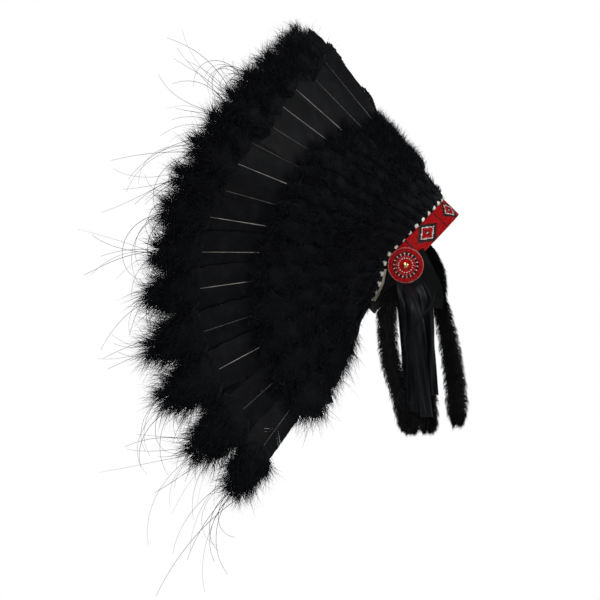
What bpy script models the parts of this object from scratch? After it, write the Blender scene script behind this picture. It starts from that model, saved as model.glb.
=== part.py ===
"""Feathered headdress, in the pose in which it is worn.

+X is the wearer's front, +Z is up, and -Y is the wearer's right side. The origin is the middle of the
head opening, on the plane of its lower edge. The loop round the head leans: its front is high and its
back is low. Feathers fan out from a row of beads on the loop, and fur strips and ribbons hang from
the two rosettes.
"""

import math
import random

import bmesh
import bpy
import numpy as np
from mathutils import Matrix, Vector

# The loop round the head, in metres and degrees.
LOOP_LENGTH = 0.212
LOOP_WIDTH = 0.156
LOOP_TILT = 45.5
BAND_HEIGHT = 0.034
BAND_WALL = 0.0025
STRIP_WALL = 0.003
STRIP_REAR_DEPTH = 0.016
CLEARANCE = 0.0003

# The row of beads at the feather bases, and the cord through them.
BEAD_RADIUS = 0.003
LACE_RADIUS = 0.0008
EDGE_CORD_RADIUS = 0.0018

# The rosettes at the temples.
ROSETTE_RADIUS = 0.028
ROSETTE_THICKNESS = 0.004
ROSETTE_ANGLE = 99.3
STUD_RADIUS = 0.0046
STUD_HEIGHT = 0.0032

# The feathers.
FEATHERS_PER_SIDE = 16
FEATHER_PITCH = 0.0153
FEATHER_LENGTH = 0.372
QUILL_RADIUS = 0.0031
PLUME_DEPTH = 0.017
TIP_DEPTH = 0.013
BLADE_THICKNESS = 0.0016
BLADE_LOUVRE = 0.0042
FEATHER_SWEEP = 0.012
HAIR_LENGTH = 0.112
HAIR_RADIUS = 0.0009

# The drops.
FUR_LENGTH = 0.24
FUR_FRONT_LENGTH = 0.30
FUR_RADIUS = 0.0145
STRAP_RADIUS = 0.001
RIBBON_LENGTH = 0.205
RIBBON_WIDTH = 0.019
RIBBON_THICKNESS = 0.001

# The last feather on each side has no neighbour behind it, so its plume spreads that way and its blade
# is narrower there, both as shares of what the others have.
LAST_PLUME = 1.9
LAST_BLADE = 0.62

SIDE_POINTS = 6
SEED = 11

# Feather number counted from the front centre, its angle above the horizontal, backwards, its flare
# away from the middle plane, both in degrees, its length as a share of the feather length, and its
# wisp of hair as a share of the hair length.
FAN = (
    # number, rise, flare, length, hair
    (0.0, 49.5, 0.0, 1.0, 0.0),
    (1.0, 49.0, 7.0, 0.99, 0.0),
    (2.0, 47.0, 14.0, 0.985, 0.0),
    (4.0, 37.0, 23.0, 1.035, 0.0),
    (5.0, 32.5, 25.5, 1.06, 0.8),
    (6.0, 28.0, 28.0, 1.075, 0.9),
    (8.0, 19.0, 31.0, 1.105, 1.0),
    (10.0, 7.5, 32.0, 1.125, 1.0),
    (12.0, -8.0, 31.0, 1.115, 1.0),
    (14.0, -27.0, 29.0, 1.11, 1.0),
    (15.0, -40.0, 27.0, 1.085, 1.2),
    (16.0, -52.0, 25.0, 1.065, 1.45),
    (17.0, -66.0, 23.0, 1.05, 1.45),
)

# Share of the loop from front to back, and the height of the bead row there as a share of its height
# at the front.
BEAD_ROW = (
    # back, height
    (0.0, 1.0),
    (0.60, 1.0),
    (0.66, 0.90),
    (0.72, 0.72),
    (0.79, 0.45),
    (0.87, 0.26),
    (0.94, 0.15),
    (1.0, 0.12),
)

# Sections of one feather. Each width is a share of the distance to the next feather, and each depth a
# share of the depth named for its kind. Ragged is the share of the feather's length by which the
# points of a section lie before or behind it.
FEATHER = (
    # kind, along, width, depth, ragged
    ("quill", 0.0, 0.0, 1.0, 0.0),
    ("quill", 0.098, 0.0, 1.0, 0.0),
    ("plume", 0.128, 0.30, 0.38, 0.0),
    ("plume", 0.190, 0.44, 0.84, 0.012),
    ("plume", 0.300, 0.47, 1.00, 0.014),
    ("plume", 0.440, 0.47, 0.92, 0.014),
    ("plume", 0.543, 0.38, 0.52, 0.018),
    ("blade", 0.590, 0.50, 1.0, 0.0),
    ("blade", 0.675, 0.82, 1.0, 0.0),
    ("blade", 0.780, 0.50, 1.0, 0.0),
    ("tip", 0.808, 0.42, 0.50, 0.0),
    ("tip", 0.860, 0.465, 0.95, 0.012),
    ("tip", 0.938, 0.465, 1.00, 0.012),
    ("tip", 0.984, 0.34, 0.60, 0.014),
)

# The centre feathers end in a bare blade: sections past the blade's widest, up to each one's own end.
BARE_END = (
    # share of the way to the end, width
    (0.30, 0.46),
    (0.65, 0.34),
    (0.90, 0.16),
    (1.0, 0.03),
)
BARE_FEATHERS = {-1: 0.70, 0: 0.78, 1: 0.88}

# Fur strips. Forward, outward and down are shares of the strip's length, counted from the point where
# it is sewn on, and radius is a share of the strip's own radius.
FUR_REAR = (
    # forward, outward, down, radius
    (0.0, 0.0, 0.0, 0.0),
    (-0.036, -0.004, 0.068, 0.0),
    (-0.064, 0.016, 0.112, 0.42),
    (-0.098, 0.044, 0.165, 0.92),
    (-0.110, 0.048, 0.27, 1.0),
    (-0.102, 0.048, 0.46, 0.96),
    (-0.074, 0.044, 0.62, 0.94),
    (-0.022, 0.044, 0.78, 0.98),
    (0.010, 0.044, 0.91, 0.94),
    (0.014, 0.044, 1.0, 0.45),
)
FUR_MIDDLE = (
    # forward, outward, down, radius
    (0.0, 0.0, 0.0, 0.0),
    (0.0, -0.004, 0.085, 0.0),
    (0.006, -0.018, 0.150, 0.24),
    (0.018, -0.024, 0.22, 0.62),
    (0.036, -0.018, 0.38, 0.78),
    (0.052, -0.014, 0.56, 0.78),
    (0.062, -0.010, 0.76, 0.84),
    (0.072, -0.006, 0.94, 0.98),
    (0.074, -0.006, 1.05, 0.88),
    (0.074, -0.006, 1.10, 0.42),
)
FUR_FRONT = (
    # forward, outward, down, radius
    (0.0, 0.0, 0.0, 0.0),
    (0.008, 0.012, 0.025, 0.34),
    (0.026, 0.034, 0.080, 0.66),
    (0.052, 0.040, 0.160, 0.80),
    (0.062, 0.040, 0.235, 0.74),
    (0.064, 0.040, 0.300, 0.62),
    (0.085, 0.040, 0.375, 0.84),
    (0.124, 0.040, 0.55, 1.02),
    (0.152, 0.040, 0.73, 1.08),
    (0.168, 0.040, 0.90, 1.04),
    (0.170, 0.040, 1.0, 0.46),
)

# Ribbons. Forward, outward and down are shares of the ribbon's length, width is a share of its width,
# and turn is its turn about its own length in degrees.
RIBBON_REAR = (
    # forward, outward, down, width, turn
    (0.0, 0.0, 0.0, 0.42, 0.0),
    (0.006, 0.050, 0.07, 0.56, -6.0),
    (0.030, 0.095, 0.18, 1.0, -16.0),
    (0.048, 0.095, 0.36, 1.0, -6.0),
    (0.062, 0.090, 0.56, 0.96, -20.0),
    (0.075, 0.090, 0.78, 0.94, -8.0),
    (0.080, 0.090, 0.97, 0.80, -14.0),
)
RIBBON_MIDDLE = (
    # forward, outward, down, width, turn
    (0.0, 0.0, 0.0, 0.42, 0.0),
    (0.014, 0.100, 0.08, 0.60, -6.0),
    (0.045, 0.165, 0.20, 1.0, -18.0),
    (0.062, 0.170, 0.38, 1.0, 10.0),
    (0.078, 0.165, 0.58, 0.98, 22.0),
    (0.100, 0.160, 0.80, 0.94, -8.0),
    (0.120, 0.160, 1.0, 0.82, -18.0),
)
RIBBON_FRONT = (
    # forward, outward, down, width, turn
    (0.0, 0.0, 0.0, 0.42, 0.0),
    (0.034, 0.060, 0.05, 0.70, 10.0),
    (0.070, 0.100, 0.14, 0.92, 20.0),
    (0.085, 0.100, 0.30, 0.92, 12.0),
    (0.092, 0.100, 0.48, 0.90, -6.0),
    (0.104, 0.100, 0.66, 0.90, 10.0),
    (0.150, 0.100, 0.84, 0.80, 14.0),
)

COLLECTION = "feathered_headdress"

HALF_LENGTH = LOOP_LENGTH / 2
HALF_WIDTH = LOOP_WIDTH / 2
TILT = math.radians(LOOP_TILT)
FORWARD = np.array([math.cos(TILT), 0.0, math.sin(TILT)])
CROWN = np.array([-math.sin(TILT), 0.0, math.cos(TILT)])
RIGHT = np.array([0.0, -1.0, 0.0])
STRIP_OFFSET = -(BAND_WALL + CLEARANCE)
BEAD_OFFSET = STRIP_OFFSET + CLEARANCE + BEAD_RADIUS
BEAD_HEIGHT = BAND_HEIGHT + CLEARANCE + BEAD_RADIUS
FEATHER_START = BEAD_RADIUS + CLEARANCE
FAN_TABLE = np.array(FAN)
ROW_TABLE = np.array(BEAD_ROW)


def unit(vectors):
    """The vectors, each divided by its own length."""
    vectors = np.asarray(vectors, float)
    return vectors / np.linalg.norm(vectors, axis=-1, keepdims=True)


def loop_angles():
    """Arc lengths from the front of the loop, and the loop's angle at each."""
    angles = np.linspace(0.0, math.pi, 721)
    points = np.stack([HALF_LENGTH * np.cos(angles), HALF_WIDTH * np.sin(angles)], axis=1)
    steps = np.linalg.norm(np.diff(points, axis=0), axis=1)
    return np.concatenate([[0.0], np.cumsum(steps)]), angles


ARCS, ANGLES = loop_angles()


def loop_normal(angle, side):
    """Outward normal of the loop. Side is 1 on the wearer's right and -1 on the left."""
    flat = unit([math.cos(angle) / HALF_LENGTH, math.sin(angle) / HALF_WIDTH])
    return flat[0] * FORWARD + side * flat[1] * RIGHT


def loop_point(angle, offset, height, side=1):
    """A point on the loop, moved outwards by offset and towards the crown by height."""
    flat = HALF_LENGTH * math.cos(angle) * FORWARD + side * HALF_WIDTH * math.sin(angle) * RIGHT
    return flat + offset * loop_normal(angle, side) + height * CROWN


def bead_height(angle):
    """Height of the bead row above the plane of the lower edge."""
    back = (1.0 - math.cos(angle)) / 2
    return BEAD_HEIGHT * float(np.interp(back, ROW_TABLE[:, 0], ROW_TABLE[:, 1]))


def feather_angle(number):
    return float(np.interp(abs(number) * FEATHER_PITCH, ARCS, ANGLES))


def feather_side(number):
    return -1 if number < 0 else 1


def bead_centre(number):
    angle = feather_angle(number)
    return loop_point(angle, BEAD_OFFSET, bead_height(angle), feather_side(number))


def feather_direction(number):
    rise = math.radians(np.interp(abs(number), FAN_TABLE[:, 0], FAN_TABLE[:, 1]))
    flare = math.radians(np.interp(abs(number), FAN_TABLE[:, 0], FAN_TABLE[:, 2]))
    back = -math.cos(rise) * math.cos(flare)
    return np.array([back, -feather_side(number) * math.sin(flare), math.sin(rise) * math.cos(flare)])


def feather_length(number):
    return FEATHER_LENGTH * float(np.interp(abs(number), FAN_TABLE[:, 0], FAN_TABLE[:, 3]))


def fan_normal(number, along):
    """Outward normal of the fan at one feather, at a distance along it."""
    before = bead_centre(number - 1) + along * feather_direction(number - 1)
    after = bead_centre(number + 1) + along * feather_direction(number + 1)
    return unit(np.cross(feather_direction(number), after - before))


def feather_line(number, along):
    """A point on a feather's centre line. The line bends a little outwards."""
    bend = FEATHER_SWEEP * (along / FEATHER_LENGTH) ** 2
    straight = bead_centre(number) + along * feather_direction(number)
    return straight + bend * fan_normal(number, along)


def fan_point(number, across, along, out):
    """A point of the fan: across counts in feathers from this one, and out along the fan's normal."""
    other = number + (1 if across >= 0 else -1)
    share = abs(across)
    line = (1 - share) * feather_line(number, along) + share * feather_line(other, along)
    normal = unit((1 - share) * fan_normal(number, along) + share * fan_normal(other, along))
    return line + out * normal


def new_material(name, colour, roughness, metallic=0.0):
    material = bpy.data.materials.new(name)
    material.use_nodes = True
    shader = material.node_tree.nodes["Principled BSDF"]
    shader.inputs["Base Color"].default_value = (*colour, 1.0)
    shader.inputs["Roughness"].default_value = roughness
    shader.inputs["Metallic"].default_value = metallic
    material.diffuse_color = (*colour, 1.0)
    return material


def object_from(name, mesh, material, collection):
    item = bpy.data.objects.new(name, mesh)
    collection.objects.link(item)
    mesh.materials.append(material)
    return item


def loft(name, rings, material, collection):
    """A closed body through rings of equally many points, each ring going round the same way."""
    shape = bmesh.new()
    loops = [[shape.verts.new(point) for point in ring] for ring in rings]
    count = len(loops[0])
    for low, high in zip(loops, loops[1:]):
        for k in range(count):
            shape.faces.new((low[k], low[(k + 1) % count], high[(k + 1) % count], high[k]))
    shape.faces.new(loops[0][::-1])
    shape.faces.new(loops[-1])
    bmesh.ops.triangulate(shape, faces=shape.faces[:])
    bmesh.ops.recalc_face_normals(shape, faces=shape.faces[:])
    mesh = bpy.data.meshes.new(name)
    shape.to_mesh(mesh)
    shape.free()
    mesh.shade_smooth()
    return object_from(name, mesh, material, collection)


def pitch_at(number, along):
    """Distance to the next feather at a distance along this one."""
    return float(np.linalg.norm(feather_line(number + 1, along) - feather_line(number, along)))


def feather_ring(number, kind, along, width, depth, ragged, noise):
    """Points round one section of a feather."""
    points = []
    for k in range(SIDE_POINTS):
        turn = 2 * math.pi * k / SIDE_POINTS
        if kind == "quill":
            normal = fan_normal(number, along)
            across = unit(np.cross(normal, feather_direction(number)))
            spoke = math.cos(turn) * across + math.sin(turn) * normal
            points.append(feather_line(number, along) + QUILL_RADIUS * spoke)
            continue
        if kind == "blade":
            across = width * math.cos(turn)
            if across * number > 0 and abs(number) == FEATHERS_PER_SIDE:
                across *= LAST_BLADE
            out = BLADE_LOUVRE * across + BLADE_THICKNESS / 2 * math.sin(turn)
            points.append(fan_point(number, across, along, out))
            continue
        full = PLUME_DEPTH if kind == "plume" else TIP_DEPTH
        across = width * math.cos(turn) * noise.uniform(0.86, 1.0)
        if across * number > 0 and abs(number) == FEATHERS_PER_SIDE and kind == "plume":
            across *= LAST_PLUME
        out = full * depth * math.sin(turn) * noise.uniform(0.78, 1.08)
        shift = ragged * feather_length(number) * noise.uniform(-1.0, 1.0)
        points.append(fan_point(number, across, along + shift, out))
    return points


def hair_share(number):
    return float(np.interp(abs(number), FAN_TABLE[:, 0], FAN_TABLE[:, 4]))


def hair_rings(number, start, noise):
    """Sections of the wisp of hair that a feather ends in."""
    length = HAIR_LENGTH * hair_share(number) * noise.uniform(0.84, 1.14)
    lift = noise.uniform(-0.20, 0.16) * HAIR_LENGTH
    drift = noise.uniform(-0.18, 0.18)
    rings = []
    for share in (0.0, 0.4, 0.75, 1.0):
        along = start + share * length
        across = drift * share**1.6
        hang = np.array([0.0, 0.0, lift * share**2])
        thick = HAIR_RADIUS * (1.5 - 0.8 * share)
        spread = thick / pitch_at(number, along)
        ring = []
        for k in range(SIDE_POINTS):
            turn = 2 * math.pi * k / SIDE_POINTS
            point = fan_point(number, across + spread * math.cos(turn), along, thick * math.sin(turn))
            ring.append(point + hang)
        rings.append(ring)
    return rings


def make_feather(number, material, collection):
    noise = random.Random(SEED * 1000 + number)
    length = feather_length(number)
    bare = BARE_FEATHERS.get(number)
    rings = []
    for kind, along, width, depth, ragged in FEATHER:
        if bare and (kind == "tip" or along > bare - 0.06):
            continue
        if bare and kind == "blade":
            width = min(width, 0.62)
        place = max(along * length, FEATHER_START)
        rings.append(feather_ring(number, kind, place, width, depth, ragged, noise))
    if bare:
        start = max(row[1] for row in FEATHER if row[0] != "tip" and row[1] <= bare - 0.06)
        for share, width in BARE_END:
            place = (start + share * (bare - start)) * length
            rings.append(feather_ring(number, "blade", place, width, 1.0, 0.0, noise))
    elif hair_share(number) == 0:
        rings.append(feather_ring(number, "tip", length, 0.12, 0.25, 0.0, noise))
    else:
        rings.extend(hair_rings(number, length, noise))
    name = f"feather_{number + FEATHERS_PER_SIDE + 1:02d}"
    return loft(name, rings, material, collection)


def strip_mesh(name, rows, closed):
    """An open surface one quad tall, from pairs of a lower and an upper point."""
    shape = bmesh.new()
    pairs = [(shape.verts.new(low), shape.verts.new(high)) for low, high in rows]
    if closed:
        pairs.append(pairs[0])
    for (low, high), (next_low, next_high) in zip(pairs, pairs[1:]):
        shape.faces.new((low, high, next_high, next_low))
    mesh = bpy.data.meshes.new(name)
    shape.to_mesh(mesh)
    shape.free()
    return mesh


def signed_loop(angle):
    """Side and angle of a place on the loop that is counted from the front, right side positive."""
    return (1 if angle >= 0 else -1), abs(angle)


def make_brow_band(material, collection):
    end = math.radians(ROSETTE_ANGLE)
    rows = []
    for angle in np.linspace(-end, end, 45):
        side, turn = signed_loop(angle)
        rows.append((loop_point(turn, 0.0, 0.0, side), loop_point(turn, 0.0, BAND_HEIGHT, side)))
    item = object_from("brow_band", strip_mesh("brow_band", rows, False), material, collection)
    wall = item.modifiers.new("wall", "SOLIDIFY")
    wall.thickness = BAND_WALL
    wall.offset = -1.0
    return item


def strip_bottom(angle):
    """Height of the crown strip's lower edge: it hangs lower behind the rosettes."""
    start = math.radians(ROSETTE_ANGLE + 12)
    share = min(max((angle - start) / (math.pi - start), 0.0), 1.0)
    return -STRIP_REAR_DEPTH * math.sin(share * math.pi / 2) ** 1.5


def strip_top(angle):
    """The strip reaches the top of the bead row."""
    return bead_height(angle) + BEAD_RADIUS


def make_crown_strip(material, collection):
    count = 64
    rows = []
    for k in range(count):
        angle = -math.pi + 2 * math.pi * (k + 0.5) / count
        side, turn = signed_loop(angle)
        low = loop_point(turn, STRIP_OFFSET, strip_bottom(turn), side)
        rows.append((low, loop_point(turn, STRIP_OFFSET, strip_top(turn), side)))
    item = object_from("crown_strip", strip_mesh("crown_strip", rows, True), material, collection)
    wall = item.modifiers.new("wall", "SOLIDIFY")
    wall.thickness = STRIP_WALL
    wall.offset = -1.0
    return item


def tube(name, points, radii, bevel_resolution, material, collection):
    """A closed tube along points, with a radius at each."""
    curve = bpy.data.curves.new(name, "CURVE")
    curve.dimensions = "3D"
    curve.bevel_depth = 1.0
    curve.bevel_resolution = bevel_resolution
    curve.use_fill_caps = True
    spline = curve.splines.new("POLY")
    spline.points.add(len(points) - 1)
    for place, point, radius in zip(spline.points, points, radii):
        place.co = (*point, 1.0)
        place.radius = radius
    item = bpy.data.objects.new(name, curve)
    collection.objects.link(item)
    curve.materials.append(material)
    return item


def mesh_of(item, collection):
    """Replace a curve by the closed mesh that it makes."""
    bpy.context.view_layer.update()
    graph = bpy.context.evaluated_depsgraph_get()
    mesh = bpy.data.meshes.new_from_object(item.evaluated_get(graph))
    shape = bmesh.new()
    shape.from_mesh(mesh)
    bmesh.ops.remove_doubles(shape, verts=shape.verts[:], dist=1e-6)
    bmesh.ops.recalc_face_normals(shape, faces=shape.faces[:])
    shape.to_mesh(mesh)
    shape.free()
    name = item.name
    made = bpy.data.objects.new(name + "_mesh", mesh)
    made.matrix_world = item.matrix_world
    collection.objects.link(made)
    bpy.data.objects.remove(item)
    made.name = name
    return made


def smooth_route(points, steps):
    """Points read from a smooth curve through the given ones, with steps between each pair."""
    points = np.asarray(points, float)
    ends = np.vstack([2 * points[0] - points[1], points, 2 * points[-1] - points[-2]])
    route = []
    for k in range(1, len(ends) - 2):
        p0, p1, p2, p3 = ends[k - 1 : k + 3]
        for step in range(steps):
            t = step / steps
            route.append(
                0.5
                * (
                    2 * p1
                    + (p2 - p0) * t
                    + (2 * p0 - 5 * p1 + 4 * p2 - p3) * t * t
                    + (3 * p1 - p0 - 3 * p2 + p3) * t**3
                )
            )
    route.append(points[-1])
    return np.array(route)


def apply_union(item, others):
    """Join the others to the item, into one closed body, and remove them."""
    for other in others:
        join = item.modifiers.new("join", "BOOLEAN")
        join.operation = "UNION"
        join.solver = "EXACT"
        join.object = other
    bpy.context.view_layer.update()
    graph = bpy.context.evaluated_depsgraph_get()
    mesh = bpy.data.meshes.new_from_object(item.evaluated_get(graph))
    item.modifiers.clear()
    item.data = mesh
    for other in others:
        bpy.data.objects.remove(other)


def make_lacing_beads(material, collection):
    """White beads fused on the cord that runs through them."""
    numbers = range(-FEATHERS_PER_SIDE, FEATHERS_PER_SIDE + 1)
    centres = [bead_centre(number) for number in numbers]
    beads = bmesh.new()
    for number, centre in zip(numbers, centres):
        angle = feather_angle(number)
        axes = (
            Vector(loop_normal(angle, feather_side(number))),
            Vector(CROWN),
        )
        turn = Matrix((axes[0].cross(axes[1]), axes[0], axes[1])).transposed().to_4x4()
        place = Matrix.Translation(Vector(centre)) @ turn
        bmesh.ops.create_uvsphere(beads, u_segments=6, v_segments=4, radius=BEAD_RADIUS, matrix=place)
    mesh = bpy.data.meshes.new("bead_balls")
    beads.to_mesh(mesh)
    beads.free()
    balls = object_from("bead_balls", mesh, material, collection)
    cord = tube(
        "lacing_beads", smooth_route(centres, 1), [LACE_RADIUS] * len(centres), 1, material, collection
    )
    cord = mesh_of(cord, collection)
    apply_union(cord, [balls])
    cord.data.shade_smooth()
    return cord


def make_edge_cord(name, side, material, collection):
    """The cord that lies under the beads, behind a rosette."""
    offset = STRIP_OFFSET + CLEARANCE + EDGE_CORD_RADIUS
    start = math.radians(ROSETTE_ANGLE + 15)
    end = feather_angle(FEATHERS_PER_SIDE)
    points = []
    for angle in np.linspace(start, end, 14):
        drop = BEAD_RADIUS + CLEARANCE + EDGE_CORD_RADIUS
        points.append(loop_point(angle, offset, bead_height(angle) - drop, side))
    return tube(name, points, [EDGE_CORD_RADIUS] * len(points), 1, material, collection)


def rosette_frame(side):
    """Centre of a rosette's back, its outward axis, and its direction towards the crown."""
    angle = math.radians(ROSETTE_ANGLE)
    height = BEAD_HEIGHT - BEAD_RADIUS - CLEARANCE - ROSETTE_RADIUS
    centre = loop_point(angle, CLEARANCE, height, side)
    return centre, loop_normal(angle, side), CROWN


def turned(name, profile, steps, centre, axis, material, collection):
    """A profile of distance from the axis and height, turned about the axis."""
    shape = bmesh.new()
    points = [shape.verts.new((radius, 0.0, height)) for radius, height in profile]
    for low, high in zip(points, points[1:]):
        shape.edges.new((low, high))
    mesh = bpy.data.meshes.new(name)
    shape.to_mesh(mesh)
    shape.free()
    item = object_from(name, mesh, material, collection)
    screw = item.modifiers.new("turn", "SCREW")
    screw.axis = "Z"
    screw.steps = steps
    screw.render_steps = steps
    screw.use_merge_vertices = True
    screw.merge_threshold = 0.00001
    item.location = Vector(centre)
    item.rotation_mode = "QUATERNION"
    item.rotation_quaternion = Vector(axis).to_track_quat("Z", "Y")
    return item


def make_rosette(name, side, material, collection):
    centre, axis, _ = rosette_frame(side)
    edge = ROSETTE_THICKNESS * 0.25
    profile = (
        (0.0, ROSETTE_THICKNESS),
        (ROSETTE_RADIUS - 2 * edge, ROSETTE_THICKNESS),
        (ROSETTE_RADIUS, ROSETTE_THICKNESS - 2 * edge),
        (ROSETTE_RADIUS, edge),
        (ROSETTE_RADIUS - edge, 0.0),
        (0.0, 0.0),
    )
    return turned(name, profile, 32, centre, axis, material, collection)


def make_stud(name, side, material, collection):
    centre, axis, _ = rosette_frame(side)
    seat = np.asarray(centre) + (ROSETTE_THICKNESS + CLEARANCE) * np.asarray(axis)
    profile = [(0.0, STUD_HEIGHT)]
    for turn in (30, 60, 85):
        angle = math.radians(turn)
        profile.append((STUD_RADIUS * math.sin(angle), STUD_HEIGHT * math.cos(angle)))
    profile += [(STUD_RADIUS, 0.0), (0.0, 0.0)]
    return turned(name, profile, 16, seat, axis, material, collection)


def make_fur(name, start, side, table, length, material, collection):
    """A fur strip that hangs from a thin strap."""
    rows = np.array(table)
    points = start + length * (
        rows[:, :1] * np.array([1.0, 0.0, 0.0])
        + rows[:, 1:2] * side * RIGHT
        + rows[:, 2:3] * np.array([0.0, 0.0, -1.0])
    )
    radii = np.maximum(rows[:, 3:4] * FUR_RADIUS, STRAP_RADIUS)
    route = smooth_route(np.hstack([points, radii]), 1)
    thick = np.maximum(route[:, 3], STRAP_RADIUS * 0.9)
    return tube(name, route[:, :3], thick, 2, material, collection)


def make_ribbon(name, place, side, table, material, collection):
    """A flat ribbon that hangs in soft folds. Its top edge follows the rosette's rim."""
    start, rim = place
    rows = smooth_route(np.array(table), 2)
    pairs = []
    for forward, outward, down, width, turn in rows:
        point = start + RIBBON_LENGTH * (
            forward * np.array([1.0, 0.0, 0.0]) + outward * side * RIGHT - down * np.array([0.0, 0.0, 1.0])
        )
        angle = math.radians(turn)
        across = math.cos(angle) * np.array([1.0, 0.0, 0.0]) + math.sin(angle) * side * RIGHT
        follow = max(1.0 - down / 0.12, 0.0)
        across = unit(follow * rim + (1 - follow) * across)
        half = RIBBON_WIDTH * width / 2
        pairs.append((point - half * across, point + half * across))
    mesh = strip_mesh(name, pairs, False)
    item = object_from(name, mesh, material, collection)
    wall = item.modifiers.new("wall", "SOLIDIFY")
    wall.thickness = RIBBON_THICKNESS
    wall.offset = 0.0
    return item


def strap_start(angle, side):
    """Where a strap is sewn on: just under the lower edge, level with the back of the rosette."""
    offset = -(STRAP_RADIUS + CLEARANCE)
    return loop_point(math.radians(angle), offset, -(CLEARANCE + STRAP_RADIUS), side)


def rim_start(turn, side):
    """A point just outside the rosette's rim, and the rim's direction there.

    Turn is counted from straight down, forwards positive.
    """
    centre, axis, _ = rosette_frame(side)
    axis = np.asarray(axis)
    down = np.array([0.0, 0.0, -1.0])
    down = unit(down - axis * float(down @ axis))
    forward = unit(np.cross(axis, down)) * side
    angle = math.radians(turn)
    rim = math.cos(angle) * down + math.sin(angle) * forward
    reach = ROSETTE_RADIUS + 2 * CLEARANCE
    point = np.asarray(centre) + ROSETTE_THICKNESS * 0.5 * axis + reach * rim
    return point, math.cos(angle) * forward - math.sin(angle) * down


def main():
    for item in list(bpy.data.objects):
        bpy.data.objects.remove(item, do_unlink=True)
    parts = bpy.data.collections.new(COLLECTION)
    bpy.context.scene.collection.children.link(parts)

    black_felt = new_material("black_felt", (0.012, 0.012, 0.013), 0.95)
    red_beadwork = new_material("red_beadwork", (0.58, 0.018, 0.022), 0.45)
    white_beads = new_material("white_beads", (0.72, 0.70, 0.66), 0.35)
    beige_cord = new_material("beige_cord", (0.56, 0.48, 0.34), 0.85)
    black_feather = new_material("black_feather", (0.010, 0.010, 0.012), 0.55)
    brass = new_material("brass", (0.62, 0.42, 0.14), 0.3, 1.0)
    black_fur = new_material("black_fur", (0.010, 0.010, 0.012), 0.9)
    black_satin = new_material("black_satin", (0.018, 0.020, 0.026), 0.4)

    make_crown_strip(black_felt, parts)
    make_brow_band(red_beadwork, parts)
    make_lacing_beads(white_beads, parts)
    for word, side in (("right", 1), ("left", -1)):
        make_edge_cord(f"edge_cord_{word}", side, beige_cord, parts)
        make_rosette(f"rosette_{word}", side, red_beadwork, parts)
        make_stud(f"rosette_stud_{word}", side, brass, parts)
    for number in range(-FEATHERS_PER_SIDE, FEATHERS_PER_SIDE + 1):
        make_feather(number, black_feather, parts)

    rear = strap_start(ROSETTE_ANGLE + 7, 1)
    middle = strap_start(ROSETTE_ANGLE - 9, 1)
    make_fur("fur_rear_right", rear, 1, FUR_REAR, FUR_LENGTH, black_fur, parts)
    make_fur("fur_middle_right", middle, 1, FUR_MIDDLE, FUR_LENGTH, black_fur, parts)
    far_rear = strap_start(ROSETTE_ANGLE + 3, -1)
    far_front = strap_start(ROSETTE_ANGLE - 34, -1)
    make_fur("fur_rear_left", far_rear, -1, FUR_MIDDLE, FUR_LENGTH, black_fur, parts)
    make_fur("fur_front_left", far_front, -1, FUR_FRONT, FUR_FRONT_LENGTH, black_fur, parts)

    make_ribbon("ribbon_rear_right", rim_start(-13, 1), 1, RIBBON_REAR, black_satin, parts)
    make_ribbon("ribbon_middle_right", rim_start(10, 1), 1, RIBBON_MIDDLE, black_satin, parts)
    make_ribbon("ribbon_front_right", rim_start(32, 1), 1, RIBBON_FRONT, black_satin, parts)
    make_ribbon("ribbon_rear_left", rim_start(-13, -1), -1, RIBBON_REAR, black_satin, parts)
    make_ribbon("ribbon_middle_left", rim_start(10, -1), -1, RIBBON_MIDDLE, black_satin, parts)


main()
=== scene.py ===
"""Feathered headdress: the visual model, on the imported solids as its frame.

Metres throughout. +X is the wearer's front, +Z is up, and -Y is the wearer's right side, which faces
the camera. The fan of feathers follows the same table as the solids, so that every feather grows out
of its own bead.
"""

import math

import bpy
import numpy as np
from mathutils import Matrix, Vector


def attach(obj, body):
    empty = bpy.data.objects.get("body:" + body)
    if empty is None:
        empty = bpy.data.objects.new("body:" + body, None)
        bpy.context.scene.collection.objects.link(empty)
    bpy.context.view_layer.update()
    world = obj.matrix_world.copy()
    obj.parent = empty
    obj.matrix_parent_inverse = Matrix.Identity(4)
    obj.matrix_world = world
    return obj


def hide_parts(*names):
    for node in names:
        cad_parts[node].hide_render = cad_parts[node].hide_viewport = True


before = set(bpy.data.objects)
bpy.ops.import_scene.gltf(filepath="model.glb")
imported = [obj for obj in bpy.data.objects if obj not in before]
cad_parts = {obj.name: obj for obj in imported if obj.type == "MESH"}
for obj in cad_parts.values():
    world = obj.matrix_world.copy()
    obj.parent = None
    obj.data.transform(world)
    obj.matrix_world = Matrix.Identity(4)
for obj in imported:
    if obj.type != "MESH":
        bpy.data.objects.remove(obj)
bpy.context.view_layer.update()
SEED = 23

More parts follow.
